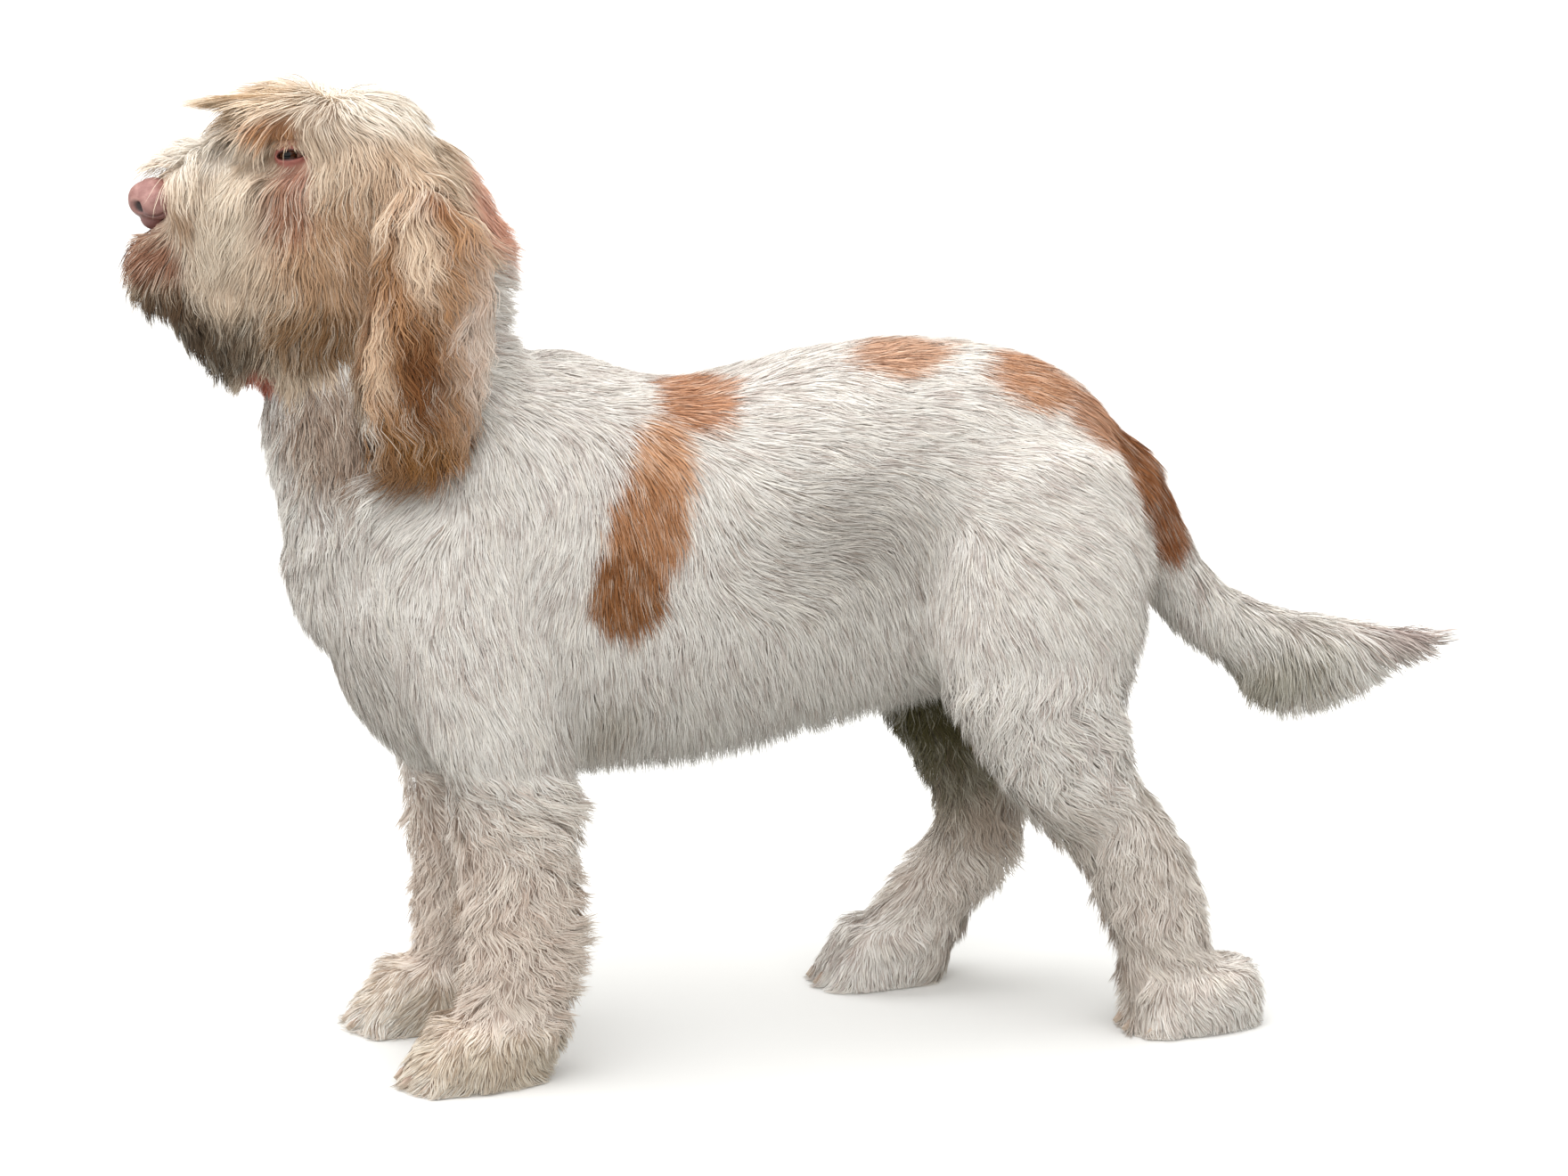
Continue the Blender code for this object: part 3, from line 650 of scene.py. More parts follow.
# %% New corners take after the nearest old ones
shape.verts.index_update()
came_from = np.array([vertex[first] for vertex in shape.verts]) - 1
shape.to_mesh(skin_mesh)
shape.free()
skin_mesh.update()
skin_mesh.shade_smooth()
new = came_from < 0
old_tree = KDTree(len(skin_points))
for index, point in enumerate(skin_points):
    old_tree.insert(point, index)
old_tree.balance()
skin_points = points_of(skin_mesh)
came_from[new] = [old_tree.find(point)[1] for point in skin_points[new]]
form_points = np.where(new[:, None], skin_points, form_points[came_from])
skin_node = skin_node[came_from]
coat = {name: values[came_from] for name, values in coat.items()}
skin_edges = edges_of(skin_mesh)
triangles = triangles_of(skin_mesh)
skin_normals = normals_of(skin_points, triangles)
print("skin corners", len(skin_points), "new", int(new.sum()))

# %% [markdown]
# ## Places that hair keeps out of
# The rims of the lids and the nose are bare, and hair round them is short, or it would hide the eye and the
# nostrils. Under the tuft of the brow there is an open notch before the bridge of the nose. Each of these
# rooms is an oval, measured so that 1 is on its edge.

# %% Short hair round the eyes and the nose
BARE = (0.0125, 0.0060)  # the bare rims of the lids: half the width and height of an oval
HOLLOW = (0.0200, 0.0150, 0.0030)  # the hollow of the eye, which hardly any long hair crosses, and its rise
EYE_FRONT = (-0.012, 0.050)  # how far behind and before an eye's middle its ovals reach
FAR_OFF = 99.0
NOSE_ROOM = (0.031, 0.034, 0.027)  # no hair grows or hangs before the nose
NOTCH, NOTCH_SIZE = (0.0, -0.545, 0.8585), (0.080, 0.050, 0.0120)  # the gap between the tuft and the bridge


def round_eye(points, side, wide, high, rise=0.0):
    """1 on an oval in front of an eye, less inside it and more outside. Behind the eye it is large."""
    x, y, z = to_eye(points, side).T
    in_front = (z > EYE_FRONT[0]) & (z < EYE_FRONT[1])
    return np.where(in_front, np.hypot((x - SLIT_OUT) / wide, (y - rise) / high), FAR_OFF)


def round_nose(points):
    """1 on an oval round the nose, less inside it and more outside."""
    return np.linalg.norm((points - nose_centre - (0, 0.004, 0)) / NOSE_ROOM, axis=1)


def round_notch(points):
    """1 on an oval in the gap under the brow's tuft, less inside it and more outside."""
    return np.linalg.norm((points - SHIFT - NOTCH) / NOTCH_SIZE, axis=1)


for side in SIDES:
    coat["density"] *= smooth((round_eye(skin_points, side, *BARE) - 1.15) / 0.6)
    off = round_eye(skin_points, side, *HOLLOW)
    full = smooth((off - 0.7) / 0.9)
    coat["length"] *= 0.15 + 0.85 * full
    coat["width"] *= 0.60 + 0.40 * full
    coat["density"] *= 1 + 0.8 * (1 - smooth((off - 0.7) / 0.6))
coat["density"] *= smooth((round_nose(skin_points) - 0.9) / 0.2)

skin = add_object("skin", skin_mesh)
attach(skin, "root")
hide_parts(*FLESH)
print("share of bare skin", round(float((coat["density"] < 0.1).mean()), 3))

# %% [markdown]
# ## Which way the hair lies
# A coat is combed by the way it grows: back along the spine, turning down over the flank, straight down the
# legs, forward over the toes, down from the ridge of the muzzle. The lie is written as directions at places
# on each part of the body, seen from the side, and every point of the skin blends the directions nearest to
# it. Hair parts along the middle of the muzzle and of the crown, and falls to both sides.

# %% The lie of the coat
LIE = {  # back along the dog, up, and the hair's direction there: back and up
    "body": [
        (-0.160, 0.607, 0.99, -0.15), (-0.076, 0.625, 1.00, 0.00), (0.006, 0.636, 1.00, 0.05),
        (0.088, 0.643, 1.00, 0.00), (0.169, 0.633, 0.98, -0.20), (0.233, 0.597, 0.88, -0.48),
        (0.285, 0.537, 0.64, -0.77), (0.333, 0.474, 0.45, -0.89), (-0.301, 0.636, 0.89, -0.45),
        (-0.248, 0.626, 0.94, -0.33), (-0.202, 0.615, 0.93, -0.37), (-0.257, 0.589, 0.45, -0.89),
        (-0.199, 0.558, 0.15, -0.99), (-0.214, 0.513, -0.24, -0.97), (-0.230, 0.468, -0.33, -0.94),
        (-0.289, 0.563, 0.10, -1.00), (-0.361, 0.542, -0.75, -0.66), (-0.377, 0.470, -0.20, -0.98),
        (-0.336, 0.460, 0.10, -1.00), (-0.306, 0.428, 0.20, -0.98), (-0.261, 0.425, 0.10, -1.00),
        (-0.365, 0.398, 0.45, -0.89), (-0.432, 0.439, 0.20, -0.98), (-0.406, 0.363, 0.45, -0.89),
        (-0.457, 0.543, 0.00, -1.00), (-0.470, 0.478, 0.20, -0.98), (-0.418, 0.564, 0.10, -1.00),
        (-0.447, 0.600, 0.05, -1.00), (-0.153, 0.571, 0.33, -0.94), (-0.154, 0.509, 0.10, -1.00),
        (-0.185, 0.450, -0.20, -0.98), (-0.194, 0.392, 0.00, -1.00), (-0.094, 0.532, 0.45, -0.89),
        (-0.076, 0.581, 0.91, -0.41), (-0.027, 0.600, 0.99, -0.15), (-0.088, 0.501, 0.41, -0.91),
        (-0.110, 0.456, 0.20, -0.98), (-0.032, 0.497, 0.86, -0.51), (0.014, 0.526, 0.99, -0.15),
        (-0.001, 0.450, 1.00, -0.00), (0.045, 0.498, 0.99, 0.15), (0.093, 0.490, 0.79, -0.61),
        (0.109, 0.458, 0.29, -0.96), (0.097, 0.410, 0.10, -1.00), (-0.064, 0.463, 0.89, -0.45),
        (-0.032, 0.436, 0.99, -0.15), (0.049, 0.413, 0.51, -0.86), (-0.123, 0.377, 0.10, -1.00),
        (-0.029, 0.386, 0.15, -0.99), (0.036, 0.380, 0.10, -1.00), (0.100, 0.375, 0.20, -0.98),
        (-0.183, 0.348, 0.15, -0.99), (-0.116, 0.322, 0.10, -1.00), (-0.002, 0.317, 0.20, -0.98),
        (0.156, 0.518, 1.00, -0.10), (0.188, 0.485, 0.89, -0.45), (0.141, 0.456, 0.10, -1.00),
        (0.172, 0.454, 0.45, -0.89), (0.221, 0.451, 0.57, -0.82), (0.239, 0.511, 0.89, -0.45),
        (0.245, 0.553, 0.93, -0.37), (0.193, 0.558, 0.98, -0.20), (0.127, 0.564, 1.00, -0.05),
        (0.071, 0.565, 1.00, -0.05), (0.077, 0.601, 1.00, -0.00), (0.157, 0.599, 0.99, -0.15),
        (0.232, 0.558, 0.93, -0.37), (0.292, 0.512, 0.80, -0.60), (0.240, 0.494, 0.89, -0.45),
        (0.325, 0.466, 0.80, -0.60), (0.251, 0.441, 0.79, -0.61), (0.313, 0.417, 0.45, -0.89),
        (0.284, 0.368, 0.60, -0.80), (0.207, 0.405, 0.45, -0.89), (0.222, 0.350, 0.20, -0.98),
        (0.318, 0.331, 0.10, -1.00),
    ],
    "hind": [
        (0.134, 0.308, 0.29, -0.96), (0.195, 0.275, 0.33, -0.94), (0.245, 0.223, 0.45, -0.89),
        (0.259, 0.318, 0.29, -0.96), (0.314, 0.166, 0.37, -0.93), (0.266, 0.105, 0.10, -1.00),
        (0.332, 0.083, 0.15, -0.99), (0.350, 0.032, 0.20, -0.98), (0.395, 0.018, 0.45, -0.89),
        (0.300, 0.035, -0.60, -0.80), (0.070, 0.035, -0.60, -0.80), (0.120, 0.110, -0.10, -1.00),
    ],
    "fore": [
        (-0.242, 0.349, 0.89, -0.45), (-0.292, 0.331, 0.20, -0.98), (-0.306, 0.246, 0.93, -0.37),
        (-0.283, 0.272, 0.45, -0.89), (-0.257, 0.255, 0.37, -0.93), (-0.296, 0.187, 0.20, -0.98),
        (-0.228, 0.197, 0.45, -0.89), (-0.246, 0.142, 0.66, -0.75), (-0.217, 0.120, 0.89, -0.45),
        (-0.285, 0.123, 0.29, -0.96), (-0.308, 0.084, -0.60, -0.80), (-0.345, 0.062, -0.49, -0.87),
        (-0.240, 0.050, 0.30, -0.95),
    ],
    "head": [
        (-0.538, 0.835, -0.11, -0.99), (-0.487, 0.843, -0.20, -0.98), (-0.531, 0.799, 0.15, -0.99),
        (-0.508, 0.774, 0.10, -1.00), (-0.496, 0.735, 0.20, -0.98), (-0.544, 0.782, 0.10, -1.00),
        (-0.568, 0.757, -0.89, -0.45), (-0.569, 0.767, -0.96, 0.29), (-0.570, 0.744, -0.22, -0.98),
        (-0.546, 0.707, 0.29, -0.96), (-0.509, 0.680, 0.29, -0.96), (-0.458, 0.786, 0.10, -1.00),
        (-0.472, 0.748, 0.10, -1.00), (-0.459, 0.721, 0.05, -1.00), (-0.423, 0.763, 0.29, -0.96),
        (-0.411, 0.723, -0.10, -1.00), (-0.448, 0.696, -0.45, -0.89), (-0.417, 0.688, -0.55, -0.83),
        (-0.489, 0.879, -1.00, 0.10), (-0.473, 0.882, -1.00, 0.05), (-0.486, 0.855, -0.51, -0.86),
        (-0.467, 0.873, -1.00, -0.10), (-0.450, 0.881, -0.99, -0.11), (-0.435, 0.854, 0.15, -0.99),
        (-0.467, 0.841, -0.51, -0.86), (-0.430, 0.858, -0.10, -1.00), (-0.394, 0.874, 0.85, -0.53),
        (-0.381, 0.851, 0.45, -0.89), (-0.351, 0.860, 0.71, -0.71), (-0.342, 0.824, 0.20, -0.98),
        (-0.383, 0.813, -0.10, -1.00), (-0.408, 0.826, 0.10, -1.00), (-0.370, 0.799, -0.10, -1.00),
        (-0.321, 0.856, 0.45, -0.89), (-0.310, 0.819, 0.37, -0.93), (-0.285, 0.806, 0.45, -0.89),
        (-0.256, 0.762, 0.51, -0.86), (-0.473, 0.637, 0.00, -1.00), (-0.435, 0.890, -1.00, -0.05),
        (-0.425, 0.879, -0.98, -0.20), (-0.388, 0.894, 1.00, -0.05), (-0.350, 0.887, 0.96, -0.29),
    ],
    "ear": [
        (-0.339, 0.805, 0.10, -1.00), (-0.364, 0.779, 0.15, -0.99), (-0.343, 0.766, 0.10, -1.00),
        (-0.327, 0.753, 0.05, -1.00), (-0.309, 0.788, 0.37, -0.93), (-0.379, 0.688, -0.20, -0.98),
        (-0.405, 0.650, -0.10, -1.00), (-0.413, 0.624, 0.33, -0.94), (-0.399, 0.594, 0.51, -0.86),
        (-0.341, 0.701, -0.05, -1.00), (-0.315, 0.674, -0.10, -1.00), (-0.296, 0.721, -0.05, -1.00),
        (-0.356, 0.638, 0.00, -1.00), (-0.325, 0.629, -0.10, -1.00),
    ],
    "tail": [
        (0.384, 0.419, 0.45, -0.89), (0.416, 0.380, 0.37, -0.93), (0.460, 0.377, 0.83, -0.55),
        (0.491, 0.346, 0.45, -0.89), (0.550, 0.343, 0.66, -0.75), (0.599, 0.337, 0.91, -0.41),
        (0.481, 0.316, 0.20, -0.98), (0.536, 0.320, 0.29, -0.96), (0.517, 0.356, 0.94, -0.33),
        (0.580, 0.348, 0.99, -0.15), (0.441, 0.410, 0.71, -0.71),
    ],
}
LIE_OF = {"head": "head", "muzzle": "head", "jaw": "head", "nose": "head", "ear": "ear", "tail": "tail"}
LIE_OF |= {"neck": "body", "trunk": "body", "foreleg": "fore", "forepaw": "fore"}
LIE_OF |= {"hindleg": "hind", "hindpaw": "hind"}
SHARPNESS = 0.010  # the distance within which the nearest direction rules
BRIDGE, BRIDGE_SIZE = (0.0, -0.525, 0.830), (0.035, 0.060, 0.036)
CROWN, CROWN_SIZE, CROWN_SHARE = (0.0, -0.395, 0.885), (0.090, 0.060, 0.040), 0.7
PARTED = 2.0  # how strongly hair turns aside at a parting
LIE_BLEND = 8  # rounds of smoothing

lie = np.zeros((len(form_points), 3))
group_of = np.array([LIE_OF[part] for part in PARTS])[skin_node]
for group, rows in LIE.items():
    chosen = group_of == group
    rows = np.array(rows)
    places = (form_points - SHIFT)[chosen][:, 1:]
    gap = ((places[:, None, :] - rows[None, :, :2]) ** 2).sum(axis=2) + SHARPNESS**2
    weight = gap**-2
    weight /= weight.sum(axis=1, keepdims=True)
    lie[chosen, 1:] = weight @ rows[:, 2:]
parting = within(form_points, BRIDGE, BRIDGE_SIZE)
parting += within(form_points, CROWN, CROWN_SIZE) * CROWN_SHARE
lie = unit(lie)
lie[:, 0] += np.sign(form_points[:, 0]) * parting * PARTED
lie = unit(spread(lie, LIE_BLEND))
print("directions", sum(len(rows) for rows in LIE.values()))

# %% [markdown]
# ## Guide hairs
# One guide hair is traced from every point of the skin. It leaves the skin at the lift of its place, bends
# over to the lie of the skin that it passes, and sags a little. Where the body falls away under it, as along
# the belly and the beard, nothing holds it up, and it hangs as a fringe. The hairs of the brow's tuft are
# drawn forward to a tip.

# %% Trace the guide hairs
STEPS = 6
STIFFNESS = 0.45  # the share of its old direction that a hair keeps at each step
SAG = np.array((0, 0, -0.18))
ROOT_LIFT = 1.5  # how much more than the lift of its place a hair is lifted at its root
LIFT_LOSS = 1.25  # how many times its lift a hair has lost by its tip
TUFT, TUFT_SIZE = (0.0, -0.463, 0.872), (0.055, 0.026, 0.022)  # these hairs reach for the tip on their side
TUFT_TIP, TUFT_ARCH = np.array((0.015, -0.538, 0.880)), np.array((0, 0, 0.008))


def raised(direction, normal, least):
    """A direction turned out from the skin until it leaves it by at least so much."""
    out = (direction * normal).sum(axis=1)
    return unit(direction + normal * np.maximum(least - out, 0)[:, None])


skin_tree = BVHTree.FromPolygons(skin_points.tolist(), triangles.tolist())
lift = np.sin(np.radians(coat["lift"]))
heading = raised(lie, skin_normals, ROOT_LIFT * lift)
tip = skin_points.copy()
guides = [np.zeros_like(tip)]
for step in range(1, STEPS + 1):
    tip = tip + heading * (coat["length"] / STEPS)[:, None]
    guides.append(tip - skin_points)
    under = triangles[[skin_tree.find_nearest(Vector(point))[2] for point in tip], 0]
    flatter = lift * (1 - LIFT_LOSS * step / STEPS)
    wanted = raised(unit(lie[under] + SAG), skin_normals[under], flatter)
    heading = unit(STIFFNESS * heading + (1 - STIFFNESS) * wanted)
guides = np.stack(guides, axis=1)
tuft = within(skin_points, TUFT, TUFT_SIZE)[:, None, None] ** 0.5
share = np.linspace(0, 1, STEPS + 1)[None, :, None]
own_side = np.where(skin_points[:, :1] > 0, 1, -1)
to_tip = own_side * (1, 0, 0) * TUFT_TIP + (0, 1, 1) * TUFT_TIP + SHIFT - skin_points
pointed = to_tip[:, None, :] * share + TUFT_ARCH * np.sin(math.pi * share)
guides += (pointed - guides) * tuft
print("guide hairs", len(guides), "mean length", round(float(coat["length"].mean()), 4))

# %% [markdown]
# ## Strands
# Particle hair doesn't survive an export, so each strand is a real ribbon of a few triangles, narrow at both
# ends, and all strands of a piece are one mesh made from arrays. A strand is the blend of the three guide
# hairs round its root, made longer or shorter, waved, and drawn at its tip towards a leading strand close
# by, which is how real hair falls into locks. The waves are a field in space, so that neighbours wave
# together. The ribbon's shading normals are rounded a little, so that it catches light like a hair.

# %% Strands as arrays
random = np.random.default_rng(7)
FLOOR_GAP = 0.0015  # hair doesn't go through the floor
WIDEST = 0.168  # no hair reaches farther to a side
SHORTEST, LONGEST = 0.62, 1.12  # as shares of the guide hair's length
LONG_CHANCE, LONGER_BY = 0.08, 0.16  # a few hairs are longer still
NARROWEST, BROADEST = 0.7, 1.3  # as shares of the width of its place
STRAY = 0.16  # how far a tip strays from its lock, as a share of half the hair's length
STRAY_FLAT = 0.6  # the share of straying off the skin that is taken away
BROAD_SWING, FINE_SWING = (0.060, 0.6), (0.024, 0.4)  # the sizes of the swings of locks, and their shares
OWN_SWING = 0.10  # how much each hair swings aside on its own
WAVE_LENGTH, WAVE_RUN = 0.036, np.array((0.1, 0.35, -0.94))  # the waves follow each other this way
WAVE_FIELD = 0.040  # waves as far apart as this are hardly alike
FIELD_PHASE, LOCK_PHASE, OWN_PHASE = 2.2, 0.7, 0.25  # how far its place, its lock and chance shift a wave
LOOSEST, TIGHTEST = 0.5, 1.0  # how strongly hairs follow the pull of their leader
STRAY_LATE, SWING_LATE, WAVE_LATE, PULL_LATE = 1.6, 1.4, 0.8, 1.3  # how late along a hair each sets in
FROM_HOLLOW, FROM_NOSE, FROM_NOTCH = 0.22, 0.30, 0.60  # what is left of a hair that would hang there
HOLLOW_CHANCE, ROOM_LEAST = 0.95, 0.6  # hairs shortened at the hollow, and by chance more at nose and notch


def wander(points, size, seed):
    """A smooth random number from about -1 to 1 that changes over a distance of about size."""
    maker = np.random.default_rng(seed)
    waves = maker.normal(size=(3, 10)) * (1.6 * math.pi / size) / math.sqrt(3)
    return np.sin(points @ waves + maker.uniform(0, 2 * math.pi, 10)).sum(axis=1) / math.sqrt(5)


def shorten(line, root, room, kept):
    """Shortens the strands that are in a room to a share of their length."""
    line[room] = root[room][:, None, :] + (line[room] - root[room][:, None, :]) * kept


def strands(chosen, count, segments, lock, clump, swing, carry):
    """Centre lines of strands over some of the skin's triangles, and what goes with each.

    There is one leading strand to every so many (lock), and the others are drawn to it (clump). Locks swing
    aside together (swing), and a strand's colour is taken from its root or its own place (carry, 0 to 1).
    """
    pick = triangles[chosen]
    a, b, c = (skin_points[pick[:, k]] for k in range(3))
    weight = np.linalg.norm(np.cross(b - a, c - a), axis=1) * coat["density"][pick].mean(axis=1)
    total = np.cumsum(weight)
    steps = (np.arange(count) + random.uniform(size=count)) / count * total[-1]
    home = np.minimum(np.searchsorted(total, steps), len(pick) - 1)
    share = random.dirichlet((1, 1, 1), count)
    ends = pick[home]

    def blend(values):
        return (values[ends] * share.reshape(count, 3, *[1] * (values.ndim - 1))).sum(axis=1)

    root, normal = blend(skin_points), unit(blend(skin_normals))
    own = {name: blend(coat[name]) for name in ("length", "wave", "width")}
    at = np.linspace(0, STEPS, segments + 1)
    low = np.minimum(at.astype(int), STEPS - 1)
    rise = (at - low)[None, :, None]
    guide = blend(guides)
    line = guide[:, low] * (1 - rise) + guide[:, low + 1] * rise
    longer = random.uniform(SHORTEST, LONGEST, count)
    longer = longer + (random.uniform(size=count) < LONG_CHANCE) * LONGER_BY
    line = line * longer[:, None, None]
    side = unit(np.cross(line[:, -1], normal))
    leader = random.choice(count, max(1, count // lock), replace=False)
    tree = KDTree(len(leader))
    for number, index in enumerate(leader):
        tree.insert(root[index], number)
    tree.balance()
    follows = leader[[tree.find(point)[1] for point in root]]
    grow = np.linspace(0, 1, segments + 1)[None, :, None]
    reach = (own["length"] * 0.5)[:, None, None]
    fan = random.normal(size=(count, 1, 3)) * grow**STRAY_LATE * reach * STRAY
    fan = fan - normal[:, None, :] * (fan * normal[:, None, :]).sum(axis=2, keepdims=True) * STRAY_FLAT
    turn = wander(root, BROAD_SWING[0], 3) * BROAD_SWING[1] + wander(root, FINE_SWING[0], 4) * FINE_SWING[1]
    turn = (turn[:, None, None] * swing + random.normal(size=(count, 1, 1)) * OWN_SWING) * reach
    line = line + fan + side[:, None, :] * turn * grow**SWING_LATE
    along = (line + root[:, None, :]) @ WAVE_RUN
    phase = wander(root, WAVE_FIELD, 5) * FIELD_PHASE + (random.normal(size=count) * LOCK_PHASE)[follows]
    phase = phase + random.normal(size=count) * OWN_PHASE
    wave = np.sin(along * (2 * math.pi / WAVE_LENGTH) + phase[:, None])
    wave = (wave - wave[:, :1]) * grow[..., 0] ** WAVE_LATE * own["wave"][:, None] * longer[:, None]
    line = line + side[:, None, :] * wave[..., None]
    lead = root[follows][:, None, :] + line[follows]
    pull = clump * random.uniform(LOOSEST, TIGHTEST, (count, 1, 1)) * grow**PULL_LATE
    line = (root[:, None, :] + line) * (1 - pull) + lead * pull
    for eye_side in SIDES:
        over = round_eye(line.reshape(-1, 3), eye_side, *HOLLOW).reshape(count, -1)
        crossing = (over < 1).any(axis=1) & (over[:, 0] > 1)
        crossing &= random.uniform(size=count) < HOLLOW_CHANCE
        shorten(line, root, crossing, FROM_HOLLOW)
    for round_room, most in ((round_nose, FROM_NOSE), (round_notch, FROM_NOTCH)):
        crossing = (round_room(line.reshape(-1, 3)).reshape(count, -1) < 1).any(axis=1)
        shorten(line, root, crossing, most * random.uniform(ROOM_LEAST, 1.0, (count, 1, 1))[crossing])
    line[..., 2] = np.maximum(line[..., 2], FLOOR_GAP)
    line[..., 0] = np.clip(line[..., 0], -WIDEST, WIDEST)
    return {
        "line": line,
        "colour_place": root[:, None, :] * (1 - carry) + line * carry,
        "normal": normal,
        "width": own["width"] * random.uniform(NARROWEST, BROADEST, count),
        "tone": random.uniform(size=count),
        "lock": random.uniform(size=count)[follows],
        "share": share,
        "home": chosen[home],
    }


# %% [markdown]
# ## Unwrapping the coat
# So that each piece's colours can be baked into a flat map, a strand needs a place of its own there. The
# skin under the piece is unwrapped, and each strand gets a small patch of that unwrap where its root is.

# %% Unwrap the skin under a piece
PATCH = 0.003  # the side of a strand's patch, where the whole map is 1


def unwrap(chosen):
    """Where each corner of some of the skin's triangles lies on a flat unwrap of them."""
    used, numbers = np.unique(triangles[chosen], return_inverse=True)
    mesh = bpy.data.meshes.new("unwrap")
    mesh.from_pydata(skin_points[used].tolist(), [], numbers.reshape(-1, 3).tolist())
    mesh.uv_layers.new(name="flat")
    piece = add_object("unwrap", mesh)
    bpy.context.view_layer.objects.active = piece
    piece.select_set(True)
    bpy.ops.object.mode_set(mode="EDIT")
    bpy.ops.mesh.select_all(action="SELECT")
    bpy.ops.uv.smart_project(angle_limit=math.radians(66), island_margin=0.002)
    bpy.ops.object.mode_set(mode="OBJECT")
    flat = read(mesh.uv_layers["flat"].uv, "vector", 2).reshape(-1, 3, 2)
    bpy.data.objects.remove(piece)
    return flat


# %% A coat piece from its strands
ROUND = 0.40  # how far the shading normals at a ribbon's two sides are turned apart
ROLL = 0.40  # how far a ribbon is turned about its own line, by chance
LEAN = 0.25  # how far a ribbon's facing leans back to the skin's normal
ROOT_END, TIP_END, FULLNESS = 0.35, 0.25, 0.7  # how blunt a ribbon's two ends are, and how full between them


def ribbon_mesh(name, made, flat, chosen):
    """One mesh of all the strands: a point, pairs of points across, and a point."""
    line, normal = made["line"], made["normal"][:, None, :]
    count, rows = line.shape[:2]
    along = unit(np.gradient(line, axis=1))
    outward = normal - along * (along * normal).sum(2, keepdims=True)
    outward = unit(outward + LEAN * normal)
    across = np.cross(along, outward)
    roll = random.normal(size=(count, 1, 1)) * ROLL
    facing = unit(outward * np.cos(roll) + across * np.sin(roll))
    flank = unit(np.cross(along, facing))
    profile = np.sin(np.linspace(ROOT_END, math.pi - TIP_END, rows))[None, :, None] ** FULLNESS
    half = flank * (made["width"][:, None, None] / 2) * profile
    pairs = np.stack([line - half, line + half], axis=2)[:, 1:-1].reshape(count, -1, 3)
    sides = np.stack([outward - ROUND * flank, outward + ROUND * flank], axis=2)[:, 1:-1]
    points = np.concatenate([line[:, :1], pairs, line[:, -1:]], axis=1)
    normals = np.concatenate([outward[:, :1], sides.reshape(count, -1, 3), outward[:, -1:]], axis=1)
    each = points.shape[1]
    row = np.concatenate([[0], np.repeat(np.arange(1, rows - 1), 2), [rows - 1]])
    strip = [(0, 2, 1)]
    for k in range(1, each - 3, 2):
        strip += [(k, k + 1, k + 3), (k, k + 3, k + 2)]
    strip += [(each - 3, each - 2, each - 1)]
    corners_of = (np.arange(count)[:, None, None] * each + np.array(strip)[None]).reshape(-1, 3)
    mesh = bpy.data.meshes.new(name)
    mesh.vertices.add(count * each)
    move_to(mesh, points)
    mesh.loops.add(corners_of.size)
    mesh.loops.foreach_set("vertex_index", corners_of.astype(np.int32).ravel())
    mesh.polygons.add(len(corners_of))
    mesh.polygons.foreach_set("loop_start", np.arange(0, corners_of.size, 3, dtype=np.int32))
    mesh.update(calc_edges=True)
    mesh.shade_smooth()
    store(mesh, "place", made["colour_place"][:, row].reshape(-1, 3))
    store(mesh, "tone", np.repeat(made["tone"], each))
    store(mesh, "lock", np.repeat(made["lock"], each))
    store(mesh, "along", np.tile(row / (rows - 1), count))
    position = np.full(len(triangles), -1)
    position[chosen] = np.arange(len(chosen))
    spot = (flat[position[made["home"]]] * made["share"][:, :, None]).sum(axis=1)
    spot = np.clip(spot, PATCH, 1 - PATCH)
    hand = np.concatenate([[0.5], np.tile((0, 1), rows - 2), [0.5]])
    patch = spot[:, None, :] + (np.column_stack([hand, row / (rows - 1)]) - 0.5)[None] * PATCH
    uv = mesh.uv_layers.new(name="OFBake")
    uv.uv.foreach_set("vector", patch.reshape(-1, 2)[corners_of.ravel()].astype(np.float32).ravel())
    mesh.normals_split_custom_set_from_vertices(unit(normals).reshape(-1, 3).astype(np.float32))
    return mesh
